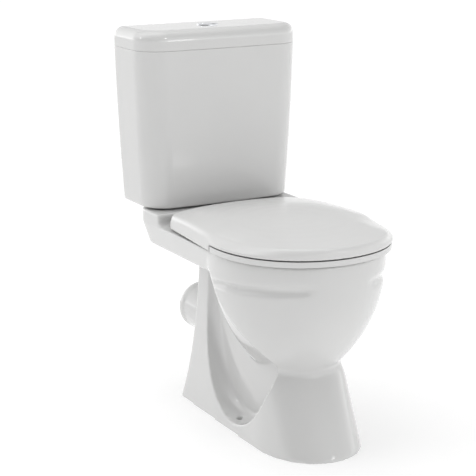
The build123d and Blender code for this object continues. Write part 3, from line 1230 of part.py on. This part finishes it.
# Push rods with a rounded lower end
ROD_TIP_Z = PIVOT_Z + LEVER_HALF_THICKNESS + LEVER_GAP
with BuildPart() as full_flush_rod:
    with Locations((-ROD_OFFSET, BUTTON_Y, ROD_TIP_Z + ROD_RADIUS)):
        Cylinder(ROD_RADIUS, BUTTON_Z + ROD_SOCKET - ROD_TIP_Z - ROD_RADIUS, align=ON)
        Sphere(ROD_RADIUS)
full_flush_rod.part.label = "full_flush_rod"
export_step(full_flush_rod.part, "parts/full_flush_rod.step")

with BuildPart() as half_flush_rod:
    add(mirror(full_flush_rod.part, about=Plane.YZ, mode=Mode.PRIVATE))
half_flush_rod.part.label = "half_flush_rod"
export_step(half_flush_rod.part, "parts/half_flush_rod.step")

# Return springs round the rods, each turn drawn with straight pieces of wire
SPRING_LENGTH = BUTTON_Z - SPRING_FOOT_Z - 2 * SPRING_WIRE_RADIUS
SPRING_STEPS = 10
SPRING_PIECES = SPRING_TURNS * SPRING_STEPS


def coil_point(piece):
    """End of a given piece of wire, counted from the spring's foot."""
    turn = 2 * pi * piece / SPRING_STEPS
    x = SPRING_RADIUS * cos(turn) - ROD_OFFSET
    y = SPRING_RADIUS * sin(turn) + BUTTON_Y
    return x, y, SPRING_FOOT_Z + SPRING_WIRE_RADIUS + SPRING_LENGTH * piece / SPRING_PIECES


with BuildPart() as full_flush_spring:
    with BuildLine() as coil:
        Polyline([coil_point(piece) for piece in range(SPRING_PIECES + 1)])
    with BuildSketch(Plane(coil.line @ 0, z_dir=coil.line % 0)):
        RegularPolygon(SPRING_WIRE_RADIUS, 6)
    sweep(path=coil.wires()[0], transition=Transition.RIGHT)
full_flush_spring.part.label = "full_flush_spring"
export_step(full_flush_spring.part, "parts/full_flush_spring.step")

with BuildPart() as half_flush_spring:
    add(mirror(full_flush_spring.part, about=Plane.YZ, mode=Mode.PRIVATE))
half_flush_spring.part.label = "half_flush_spring"
export_step(half_flush_spring.part, "parts/half_flush_spring.step")

with BuildPart() as button_lock_nut:
    with Locations((0, BUTTON_Y, LID_CEILING_Z)):
        Cylinder(LOCK_NUT_RADIUS, LOCK_NUT_HEIGHT, align=UNDER)
        Hole(BEZEL_NECK_RADIUS + CLOSE_FIT)
button_lock_nut.part.label = "button_lock_nut"
export_step(button_lock_nut.part, "parts/button_lock_nut.step")

# Fill valve: tail through the floor, riser, and the collar that stops the float
FILL_Y = y_at(FILL_FROM_WALL)
FILL_FLANGE_Z = TANK_FLOOR_Z + FILL_WASHER_HEIGHT
FILL_CAP_Z = TANK_FLOOR_Z + FILL_HEIGHT
FILL_STOP_Z = TANK_FLOOR_Z + FILL_STOP_RISE
FILL_TAIL_Z = CISTERN_Z - FILL_TAIL_LENGTH
with BuildPart() as fill_valve_body:
    with Locations((FILL_OFFSET, FILL_Y, FILL_FLANGE_Z)):
        Cylinder(FILL_FLANGE_RADIUS, FILL_FLANGE_HEIGHT, align=ON)
        Cylinder(FILL_TAIL_RADIUS, FILL_FLANGE_Z - FILL_TAIL_Z, align=UNDER)
        Cylinder(FILL_RISER_RADIUS, FILL_CAP_Z + FILL_CAP_SOCKET - FILL_FLANGE_Z, align=ON)
    with Locations((FILL_OFFSET, FILL_Y, FILL_STOP_Z)):
        Cylinder(FILL_STOP_RADIUS, FILL_STOP_HEIGHT, align=ON)
    with Locations((FILL_OFFSET, FILL_Y, FILL_TAIL_Z)):
        Cylinder(FILL_TAIL_RADIUS, FILL_THREAD_LENGTH, align=ON, mode=Mode.SUBTRACT)
        Cylinder(FILL_THREAD_RADIUS, FILL_THREAD_LENGTH, align=ON)
        Cylinder(FILL_BORE_RADIUS, FILL_CAP_Z - FILL_TAIL_Z, align=ON, mode=Mode.SUBTRACT)
fill_valve_body.part.label = "fill_valve_body"
export_step(fill_valve_body.part, "parts/fill_valve_body.step")

with BuildPart() as fill_valve_washer:
    with Locations((FILL_OFFSET, FILL_Y, TANK_FLOOR_Z)):
        Cylinder(FILL_FLANGE_RADIUS, FILL_WASHER_HEIGHT, align=ON)
        Hole(FILL_TAIL_RADIUS + RUNNING_FIT)
fill_valve_washer.part.label = "fill_valve_washer"
export_step(fill_valve_washer.part, "parts/fill_valve_washer.step")

with BuildPart() as fill_valve_backnut:
    with BuildSketch(Plane.XY.offset(CISTERN_Z)):
        with Locations((FILL_OFFSET, FILL_Y)):
            RegularPolygon(FILL_NUT_RADIUS, 6)
            Circle(FILL_TAIL_RADIUS + CLOSE_FIT, mode=Mode.SUBTRACT)
    extrude(amount=-FILL_NUT_HEIGHT)
fill_valve_backnut.part.label = "fill_valve_backnut"
export_step(fill_valve_backnut.part, "parts/fill_valve_backnut.step")

# Cap on the riser, with two ears for the float lever's pin
FILL_CAP_TOP_Z = FILL_CAP_Z + FILL_CAP_HEIGHT
FILL_PIVOT_Z = FILL_CAP_TOP_Z + FILL_LEVER_RISE
FILL_PIVOT_X = FILL_OFFSET + FILL_LEVER_PIVOT
EAR_SPREAD = FILL_LEVER_WIDTH + 2 * LOOSE_FIT + FILL_EAR_THICKNESS
with BuildPart() as fill_valve_cap:
    with Locations((FILL_OFFSET, FILL_Y, FILL_CAP_Z)):
        Cylinder(FILL_CAP_RADIUS, FILL_CAP_HEIGHT, align=ON)
        Cylinder(FILL_RISER_RADIUS + CLOSE_FIT, FILL_CAP_SOCKET, align=ON, mode=Mode.SUBTRACT)
    with Locations((FILL_PIVOT_X, FILL_Y, FILL_CAP_TOP_Z)):
        with GridLocations(0, EAR_SPREAD, 1, 2):
            Box(FILL_EAR_LENGTH, FILL_EAR_THICKNESS, FILL_EAR_HEIGHT, align=ON)
    with Locations((FILL_PIVOT_X, FILL_Y, FILL_PIVOT_Z)):
        Cylinder(FILL_PIN_RADIUS + CLOSE_FIT, 3 * EAR_SPREAD, rotation=ALONG_Y, mode=Mode.SUBTRACT)
fill_valve_cap.part.label = "fill_valve_cap"
export_step(fill_valve_cap.part, "parts/fill_valve_cap.step")

with BuildPart() as fill_lever_pin:
    with Locations((FILL_PIVOT_X, FILL_Y, FILL_PIVOT_Z)):
        Cylinder(FILL_PIN_RADIUS, EAR_SPREAD + FILL_EAR_THICKNESS + 2 * LOOSE_FIT, rotation=ALONG_Y)
fill_lever_pin.part.label = "fill_lever_pin"
export_step(fill_lever_pin.part, "parts/fill_lever_pin.step")

# Float lever, slotted for the link rod
FILL_LINK_X = FILL_OFFSET - FILL_LINK_OFFSET
with BuildPart() as fill_lever:
    with Locations((FILL_PIVOT_X, FILL_Y, FILL_PIVOT_Z)):
        Cylinder(FILL_LEVER_HUB_RADIUS - LOOSE_FIT, FILL_LEVER_WIDTH, rotation=ALONG_Y)
        Box(
            FILL_LEVER_REACH,
            FILL_LEVER_WIDTH,
            FILL_LEVER_THICKNESS,
            align=(Align.MAX, Align.CENTER, Align.CENTER),
        )
        Cylinder(FILL_PIN_RADIUS + RUNNING_FIT, 2 * FILL_LEVER_WIDTH, rotation=ALONG_Y, mode=Mode.SUBTRACT)
    with Locations((FILL_LINK_X, FILL_Y, FILL_PIVOT_Z)):
        Box(FILL_SLOT_LENGTH, FILL_SLOT_WIDTH, 2 * FILL_LEVER_THICKNESS, mode=Mode.SUBTRACT)
fill_lever.part.label = "fill_lever"
export_step(fill_lever.part, "parts/fill_lever.step")

# Float: a cup, open below, that slides on the riser
FILL_FLOAT_Z = FILL_STOP_Z + FILL_STOP_HEIGHT + PAD_GAP
FILL_FLOAT_TOP_Z = FILL_FLOAT_Z + FILL_FLOAT_HEIGHT
with BuildPart() as fill_float:
    with Locations((FILL_OFFSET, FILL_Y, FILL_FLOAT_Z)):
        Cylinder(FILL_FLOAT_RADIUS, FILL_FLOAT_HEIGHT, align=ON)
        Cylinder(
            FILL_FLOAT_RADIUS - FILL_FLOAT_WALL,
            FILL_FLOAT_HEIGHT - FILL_FLOAT_WALL,
            align=ON,
            mode=Mode.SUBTRACT,
        )
        Cylinder(FILL_STOP_RADIUS, FILL_FLOAT_HEIGHT, align=ON)
        Hole(FILL_FLOAT_BORE)
    with Locations((FILL_LINK_X, FILL_Y, FILL_FLOAT_TOP_Z)):
        Hole(FILL_LINK_RADIUS + CLOSE_FIT, depth=FILL_FLOAT_WALL)
fill_float.part.label = "fill_float"
export_step(fill_float.part, "parts/fill_float.step")

# Link rod from float to lever, with the collar that lifts the lever
FILL_COLLAR_TOP_Z = FILL_PIVOT_Z - FILL_LEVER_THICKNESS / 2 - FILL_LINK_GAP
with BuildPart() as fill_link_rod:
    with Locations((FILL_LINK_X, FILL_Y, FILL_FLOAT_TOP_Z - FILL_FLOAT_WALL)):
        Cylinder(
            FILL_LINK_RADIUS,
            FILL_PIVOT_Z + FILL_LINK_OVERRUN - FILL_FLOAT_TOP_Z + FILL_FLOAT_WALL,
            align=ON,
        )
    for collar_top in (FILL_COLLAR_TOP_Z, FILL_FLOAT_TOP_Z + FILL_LINK_COLLAR_HEIGHT):
        with Locations((FILL_LINK_X, FILL_Y, collar_top)):
            Cylinder(FILL_LINK_COLLAR_RADIUS, FILL_LINK_COLLAR_HEIGHT, align=UNDER)
fill_link_rod.part.label = "fill_link_rod"
export_step(fill_link_rod.part, "parts/fill_link_rod.step")
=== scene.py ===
import json
import math

import bpy
import numpy as np
from mathutils import Matrix, Vector


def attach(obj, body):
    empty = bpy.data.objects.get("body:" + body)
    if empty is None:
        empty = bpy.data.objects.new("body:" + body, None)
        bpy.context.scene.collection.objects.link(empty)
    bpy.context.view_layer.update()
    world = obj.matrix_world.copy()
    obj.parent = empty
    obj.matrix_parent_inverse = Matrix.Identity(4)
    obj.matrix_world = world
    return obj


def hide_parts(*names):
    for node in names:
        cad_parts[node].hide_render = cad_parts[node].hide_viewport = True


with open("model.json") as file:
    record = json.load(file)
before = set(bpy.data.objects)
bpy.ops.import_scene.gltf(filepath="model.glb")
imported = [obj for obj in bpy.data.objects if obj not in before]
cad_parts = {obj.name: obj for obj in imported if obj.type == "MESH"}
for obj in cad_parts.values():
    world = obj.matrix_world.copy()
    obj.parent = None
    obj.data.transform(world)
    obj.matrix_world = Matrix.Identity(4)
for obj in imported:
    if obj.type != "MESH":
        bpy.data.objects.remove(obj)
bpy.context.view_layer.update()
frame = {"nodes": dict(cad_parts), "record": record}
nodes = frame["nodes"]
scene = bpy.context.scene

# Lengths are in metres and angles in degrees, here and below.
# Azimuths turn from the front, -y, towards +x.

# Camera, as fitted to the photograph
CAMERA_TARGET = Vector((-0.0657, -0.0113, 0.3960))
CAMERA_DISTANCE = 3.003
CAMERA_AZIMUTH = -28.75
CAMERA_ELEVATION = 14.0
CAMERA_ROLL = -0.3
CAMERA_LENS = 112.5

# What all materials share: scale and detail of their noises, and the part of each noise that is used
CLOUD_SCALE, CLOUD_DETAIL = 7.0, 3.0
CLOUD_LOW, CLOUD_HIGH = 0.35, 0.65
SHEEN_SCALE, SHEEN_DETAIL = 31.0, 4.0
SHEEN_LOW, SHEEN_HIGH = 0.3, 0.7
MARKS_DETAIL = 2.0
COAT_ROUGHNESS = 0.03


def add_noise(tree, scale, detail, coords):
    """Noise texture over the object's own coordinates."""
    noise = tree.nodes.new("ShaderNodeTexNoise")
    noise.inputs["Scale"].default_value = scale
    noise.inputs["Detail"].default_value = detail
    tree.links.new(coords.outputs["Object"], noise.inputs["Vector"])
    return noise


def add_range(tree, source, low, high):
    """Noise value spread from low to high."""
    spread = tree.nodes.new("ShaderNodeMapRange")
    spread.inputs["From Min"].default_value = SHEEN_LOW
    spread.inputs["From Max"].default_value = SHEEN_HIGH
    spread.inputs["To Min"].default_value = low
    spread.inputs["To Max"].default_value = high
    tree.links.new(source.outputs["Fac"], spread.inputs["Value"])
    return spread


def make_material(name, colour, shade, roughness, grain, bump, metallic=0.0, coat=0.0, ior=1.5):
    """Material with cloudy colour, uneven gloss and a fine surface grain.

    colour and shade are the two ends of the cloud, roughness its two limits, grain the scale of the
    surface marks and bump their height.
    """
    material = bpy.data.materials.new(name)
    material.use_nodes = True
    tree = material.node_tree
    shader = tree.nodes["Principled BSDF"]
    shader.inputs["Metallic"].default_value = metallic
    shader.inputs["IOR"].default_value = ior
    shader.inputs["Coat Weight"].default_value = coat
    shader.inputs["Coat Roughness"].default_value = COAT_ROUGHNESS
    coords = tree.nodes.new("ShaderNodeTexCoord")

    cloud = add_noise(tree, CLOUD_SCALE, CLOUD_DETAIL, coords)
    ramp = tree.nodes.new("ShaderNodeValToRGB")
    ramp.color_ramp.elements[0].position = CLOUD_LOW
    ramp.color_ramp.elements[0].color = (*shade, 1.0)
    ramp.color_ramp.elements[1].position = CLOUD_HIGH
    ramp.color_ramp.elements[1].color = (*colour, 1.0)
    tree.links.new(cloud.outputs["Fac"], ramp.inputs["Fac"])
    tree.links.new(ramp.outputs["Color"], shader.inputs["Base Color"])

    sheen = add_noise(tree, SHEEN_SCALE, SHEEN_DETAIL, coords)
    spread = add_range(tree, sheen, *roughness)
    tree.links.new(spread.outputs["Result"], shader.inputs["Roughness"])

    marks = add_noise(tree, grain, MARKS_DETAIL, coords)
    relief = tree.nodes.new("ShaderNodeBump")
    relief.inputs["Strength"].default_value = 1.0
    relief.inputs["Distance"].default_value = bump
    tree.links.new(marks.outputs["Fac"], relief.inputs["Height"])
    tree.links.new(relief.outputs["Normal"], shader.inputs["Normal"])
    return material


# By slot: name, colour, shade, roughness, grain, bump
MATERIALS = {
    "glazed_china": make_material(
        "glazed_china", (0.67, 0.67, 0.665), (0.657, 0.657, 0.652), (0.06, 0.12), 18.0, 0.00012, coat=0.5
    ),
    "seat_plastic": make_material(
        "seat_plastic", (0.70, 0.70, 0.695), (0.69, 0.69, 0.685), (0.13, 0.2), 60.0, 0.00003
    ),
    "chrome": make_material(
        "chrome", (0.72, 0.73, 0.75), (0.66, 0.67, 0.69), (0.05, 0.12), 900.0, 0.000004, metallic=1.0
    ),
    "pad_rubber": make_material(
        "pad_rubber", (0.68, 0.68, 0.65), (0.62, 0.62, 0.59), (0.55, 0.7), 1500.0, 0.00003
    ),
    "black_rubber": make_material(
        "black_rubber", (0.03, 0.03, 0.033), (0.018, 0.018, 0.02), (0.55, 0.75), 1500.0, 0.00004
    ),
    "hinge_steel": make_material(
        "hinge_steel", (0.60, 0.61, 0.62), (0.52, 0.53, 0.54), (0.2, 0.34), 1200.0, 0.00001, metallic=1.0
    ),
    "zinc_steel": make_material(
        "zinc_steel", (0.58, 0.59, 0.57), (0.46, 0.48, 0.5), (0.3, 0.48), 700.0, 0.00002, metallic=1.0
    ),
    "nut_plastic": make_material(
        "nut_plastic", (0.74, 0.74, 0.71), (0.7, 0.7, 0.67), (0.35, 0.5), 900.0, 0.00002
    ),
    "valve_plastic": make_material(
        "valve_plastic", (0.66, 0.68, 0.70), (0.61, 0.63, 0.65), (0.35, 0.5), 900.0, 0.00002
    ),
    "core_plastic": make_material(
        "core_plastic", (0.10, 0.26, 0.48), (0.08, 0.22, 0.42), (0.3, 0.45), 900.0, 0.00002
    ),
    "float_plastic": make_material(
        "float_plastic", (0.045, 0.05, 0.055), (0.035, 0.038, 0.042), (0.4, 0.55), 900.0, 0.00003
    ),
}

for subpart in frame["record"]["subparts"]:
    slots = nodes[subpart["node"]].data.materials
    slots.clear()
    slots.append(MATERIALS[subpart["material_slot"]])

# Pieces shown in place of CAD nodes whose edges and curves are softer on the real thing
WELD_DISTANCE = 0.000002
RELAX_FACTOR = 0.5
RELAX_LEVELS = 20


def bake(piece):
    """Applies the modifiers of a piece to its mesh."""
    bpy.context.view_layer.update()
    graph = bpy.context.evaluated_depsgraph_get()
    finished = bpy.data.meshes.new_from_object(piece.evaluated_get(graph))
    piece.modifiers.clear()
    piece.vertex_groups.clear()
    piece.data = finished


def relax(piece, weights, passes):
    """Smooths a piece where the weights of its vertices, from 0 to 1, say so."""
    group = piece.vertex_groups.new(name="relax")
    levels = np.round(np.clip(weights, 0, 1) * RELAX_LEVELS).astype(int)
    for level in range(1, RELAX_LEVELS + 1):
        chosen = np.nonzero(levels == level)[0]
        if len(chosen):
            group.add(chosen.tolist(), level / RELAX_LEVELS, "REPLACE")
    smooth = piece.modifiers.new("smooth", "SMOOTH")
    smooth.factor = RELAX_FACTOR
    smooth.iterations = passes
    smooth.vertex_group = group.name
    bake(piece)


def in_even_faces(node, voxel, passes):
    """Copy of a CAD node, rebuilt in even faces and with softened edges."""
    piece = bpy.data.objects.new(node + "_shown", nodes[node].data.copy())
    scene.collection.objects.link(piece)
    weld = piece.modifiers.new("weld", "WELD")
    weld.merge_threshold = WELD_DISTANCE
    remesh = piece.modifiers.new("remesh", "REMESH")
    remesh.mode = "VOXEL"
    remesh.voxel_size = voxel
    bake(piece)
    relax(piece, np.ones(len(piece.data.vertices)), passes)
    return piece


def points_of(piece):
    """Coordinates and normals of the vertices of a piece, as arrays."""
    mesh = piece.data
    places = np.empty(len(mesh.vertices) * 3)
    mesh.vertices.foreach_get("co", places)
    normals = np.empty(len(mesh.vertices) * 3)
    mesh.vertex_normals.foreach_get("vector", normals)
    return places.reshape(-1, 3), normals.reshape(-1, 3)


def put_points(piece, places):
    """Moves the vertices of a piece to new places."""
    piece.data.vertices.foreach_set("co", places.ravel())
    piece.data.update()


def show_instead(piece, node, body, slot, kept):
    """Shows a finished piece in place of a CAD node, with a given share of its faces kept."""
    thin = piece.modifiers.new("thin", "DECIMATE")
    thin.ratio = kept
    bake(piece)
    piece.data.polygons.foreach_set("use_smooth", [True] * len(piece.data.polygons))
    piece.data.materials.clear()
    piece.data.materials.append(MATERIALS[slot])
    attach(piece, body)
    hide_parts(node)


def ease(value, low, high):
    """Smooth step from 0 at low to 1 at high."""
    share = np.clip((value - low) / (high - low), 0, 1)
    return share * share * (3 - 2 * share)


def hill(value, middle, width):
    """Bell curve of height 1."""
    return np.exp(-(((value - middle) / width) ** 2))


# Pan: glaze over every edge, bowl run out softly into the foot and a deeper finger groove under the rim.
# Pairs are where an effect starts and where it is full.
PAN_VOXEL, PAN_PASSES, PAN_FACES_KEPT = 0.003, 5, 0.5
BOWL_AXIS_Y = -0.09
OUTSIDE_FACING = (0.0, 0.35)
OUTSIDE_FROM_MIDDLE = (0.02, 0.09)
GROOVE_LEVEL, GROOVE_SLOPE, GROOVE_FROM = 0.339, 0.0805, -0.1075
GROOVE_DEPTH, GROOVE_WIDTH = 0.006, 0.008
GROOVE_REAR = (0.07, 0.11)
GROOVE_FRONT = (0.05, 0.085)
GROOVE_SOFT_WIDTH, GROOVE_SOFT_PASSES = 0.022, 14
NECK_LEVEL, NECK_WIDTH = 0.165, 0.024
NECK_FROM_MIDDLE = (0.08, 0.15)
# Place and width of the fold where each recess ends under the bowl
BROW_X, BROW_WIDTH_X = 0.085, 0.035
BROW_Y, BROW_WIDTH_Y = -0.13, 0.07
BROW_Z, BROW_WIDTH_Z = 0.19, 0.04
FOLD_SOFT_PASSES = 60

pan = in_even_faces("pan", PAN_VOXEL, PAN_PASSES)
places, normals = points_of(pan)
x, y, z = places.T
outward = np.stack([x, y - BOWL_AXIS_Y, 0 * z], 1)
outward /= np.maximum(np.linalg.norm(outward, axis=1, keepdims=True), 1e-6)
outside = ease((outward * normals).sum(1), *OUTSIDE_FACING) * ease(-y, *OUTSIDE_FROM_MIDDLE)
groove_z = GROOVE_LEVEL + GROOVE_SLOPE * (GROOVE_FROM - y)
course = ease(-y, *GROOVE_REAR) * ease(np.abs(x), *GROOVE_FRONT)
depth = GROOVE_DEPTH * outside * hill(z, groove_z, GROOVE_WIDTH) * course
put_points(pan, places - outward * depth[:, None])
soft_neck = hill(z, NECK_LEVEL, NECK_WIDTH) * ease(-y, *NECK_FROM_MIDDLE)
soft_brow = (
    hill(z, BROW_Z, BROW_WIDTH_Z) * hill(y, BROW_Y, BROW_WIDTH_Y) * hill(np.abs(x), BROW_X, BROW_WIDTH_X)
)
relax(pan, soft_neck + soft_brow, FOLD_SOFT_PASSES)
relax(pan, hill(z, groove_z, GROOVE_SOFT_WIDTH) * course, GROOVE_SOFT_PASSES)
show_instead(pan, "pan", "fixed_ware", "glazed_china", PAN_FACES_KEPT)

# Seat lid: a higher crown, and sides that lean in towards the front
LID_VOXEL, LID_PASSES, LID_FACES_KEPT = 0.0018, 4, 0.5
LID_MIDDLE_Y, LID_CROWN_Z, LID_CROWN_RADIUS = -0.1075, 0.443, 1.9
LID_FOLD_Z = 0.422
LID_HALF_WIDTH = 0.182
SWELL, SWELL_MORE_AT_REAR = 0.006, 0.006
SWELL_FRONT = (-0.03, 0.2)
SWELL_HALF_WIDTH, SWELL_POWER = 0.185, 6
DROOP = 0.0025
DROOP_SIDE = (0.11, 0.17)
DROOP_FRONT = (0.1, 0.19)
LEAN, LEAN_POWER = 0.016, 3
LEAN_FRONT = (0.08, 0.18)

lid = in_even_faces("seat_lid", LID_VOXEL, LID_PASSES)
places, _ = points_of(lid)
x, y, z = places.T
top = LID_CROWN_Z - (x**2 + (y - LID_MIDDLE_Y) ** 2) / (2 * LID_CROWN_RADIUS)
share = np.clip((z - LID_FOLD_Z) / (top - LID_FOLD_Z), 0, 1)
across = np.clip(1 - (x / SWELL_HALF_WIDTH) ** SWELL_POWER, 0, 1)
swell = (SWELL + SWELL_MORE_AT_REAR * (1 - ease(-y, *SWELL_FRONT))) * across
droop = DROOP * ease(np.abs(x), *DROOP_SIDE) * ease(-y, *DROOP_FRONT)
lean = LEAN * (x / LID_HALF_WIDTH) ** LEAN_POWER * ease(-y, *LEAN_FRONT)
places[:, 0] -= lean * share
places[:, 2] += (swell - droop) * share
put_points(lid, places)
show_instead(lid, "seat_lid", "lid", "seat_plastic", LID_FACES_KEPT)

# Pale floor, with a little light of its own so that it comes out as white as the photograph's
FLOOR_HALF = 30.0
FLOOR_GLOW = 0.46
floor_mesh = bpy.data.meshes.new("floor")
floor_mesh.from_pydata(
    [
        (-FLOOR_HALF, -FLOOR_HALF, 0),
        (FLOOR_HALF, -FLOOR_HALF, 0),
        (FLOOR_HALF, FLOOR_HALF, 0),
        (-FLOOR_HALF, FLOOR_HALF, 0),
    ],
    [],
    [(0, 1, 2, 3)],
)
floor = bpy.data.objects.new("floor", floor_mesh)
scene.collection.objects.link(floor)
floor_paint = make_material("floor_paint", (0.58, 0.58, 0.58), (0.57, 0.57, 0.57), (0.8, 0.9), 40.0, 0.00005)
floor_shader = floor_paint.node_tree.nodes["Principled BSDF"]
floor_shader.inputs["Emission Color"].default_value = (1.0, 1.0, 1.0, 1.0)
floor_shader.inputs["Emission Strength"].default_value = FLOOR_GLOW
floor_mesh.materials.append(floor_paint)

# White tent: dim where the photographer stands, bright in front, to the right, above and behind.
# Each patch of it is an azimuth, an elevation, and its light at the middle.
TENT_PATCHES = (
    (16.0, 0.0, 1.6),
    (61.0, 0.0, 1.0),
    (106.0, 0.0, 1.25),
    (151.0, 0.0, 0.3),
    (196.0, 0.0, 2.0),
    (-29.0, 45.0, 0.4),
    (151.0, 45.0, 0.7),
    (241.0, 45.0, 1.8),
    (0.0, 90.0, 2.15),
)
TENT_FALLOFF = 8.0
# Light all round just above the floor, and the sine of the height where it ends
TENT_SKIRTING, TENT_SKIRTING_TOP = 0.6, 0.2


def direction_of(azimuth, elevation):
    """Unit vector from the object towards an azimuth and an elevation."""
    turn, lift = math.radians(azimuth), math.radians(elevation)
    flat = math.cos(lift)
    return Vector((math.sin(turn) * flat, -math.cos(turn) * flat, math.sin(lift)))


world = bpy.data.worlds.new("studio")
world.use_nodes = True
tent = world.node_tree
outlook = tent.nodes.new("ShaderNodeTexCoord")
height = tent.nodes.new("ShaderNodeSeparateXYZ")
tent.links.new(outlook.outputs["Generated"], height.inputs["Vector"])
skirting = tent.nodes.new("ShaderNodeMapRange")
skirting.interpolation_type = "SMOOTHSTEP"
skirting.inputs["From Min"].default_value = 0.0
skirting.inputs["From Max"].default_value = TENT_SKIRTING_TOP
skirting.inputs["To Min"].default_value = TENT_SKIRTING
skirting.inputs["To Max"].default_value = 0.0
tent.links.new(height.outputs["Z"], skirting.inputs["Value"])
glow = skirting.outputs["Result"]
for patch_azimuth, patch_elevation, level in TENT_PATCHES:
    facing = tent.nodes.new("ShaderNodeVectorMath")
    facing.operation = "DOT_PRODUCT"
    facing.inputs[1].default_value = direction_of(patch_azimuth, patch_elevation)
    tent.links.new(outlook.outputs["Generated"], facing.inputs[0])
    ahead = tent.nodes.new("ShaderNodeMath")
    ahead.operation = "MAXIMUM"
    ahead.inputs[1].default_value = 0.0
    tent.links.new(facing.outputs["Value"], ahead.inputs[0])
    falloff = tent.nodes.new("ShaderNodeMath")
    falloff.operation = "POWER"
    falloff.inputs[1].default_value = TENT_FALLOFF
    tent.links.new(ahead.outputs["Value"], falloff.inputs[0])
    total = tent.nodes.new("ShaderNodeMath")
    total.operation = "MULTIPLY_ADD"
    total.inputs[1].default_value = level
    tent.links.new(falloff.outputs["Value"], total.inputs[0])
    tent.links.new(glow, total.inputs[2])
    glow = total.outputs["Value"]
tent.links.new(glow, tent.nodes["Background"].inputs["Color"])
scene.world = world

# Three small softboxes, for the highlights
SOFTBOX_DISTANCE = 2.6
WINDOW_BOX_RAISE = Vector((0, 0, 0.5))
SEAT_AIM = (0, -0.2, 0.4)
CISTERN_AIM = (0, 0, 0.6)


def add_softbox(name, place, aim, size, power):
    """Area light of a given width and height, turned to its aim."""
    lamp = bpy.data.lights.new(name, "AREA")
    lamp.shape = "RECTANGLE"
    lamp.size, lamp.size_y = size
    lamp.energy = power
    holder = bpy.data.objects.new(name, lamp)
    holder.location = place
    holder.rotation_euler = (Vector(aim) - Vector(place)).to_track_quat("-Z", "Y").to_euler()
    scene.collection.objects.link(holder)


front_place = direction_of(12.0, 50.0) * SOFTBOX_DISTANCE
window_place = direction_of(20.0, 9.0) * SOFTBOX_DISTANCE + WINDOW_BOX_RAISE
left_place = direction_of(-110.0, 38.0) * SOFTBOX_DISTANCE
add_softbox("front_box", front_place, SEAT_AIM, (0.14, 0.12), 1.3)
add_softbox("window_box", window_place, CISTERN_AIM, (0.3, 0.2), 0.9)
add_softbox("left_box", left_place, CISTERN_AIM, (0.12, 0.16), 1.2)

towards_camera = direction_of(CAMERA_AZIMUTH, CAMERA_ELEVATION)
lens = bpy.data.cameras.new("photo_camera")
lens.lens = CAMERA_LENS
camera = bpy.data.objects.new("photo_camera", lens)
place = Matrix.Translation(CAMERA_TARGET + towards_camera * CAMERA_DISTANCE)
turn = (-towards_camera).to_track_quat("-Z", "Y").to_matrix().to_4x4()
roll = Matrix.Rotation(math.radians(CAMERA_ROLL), 4, "Z")
camera.matrix_world = place @ turn @ roll
scene.collection.objects.link(camera)
scene.camera = camera
scene.view_settings.view_transform = "Standard"
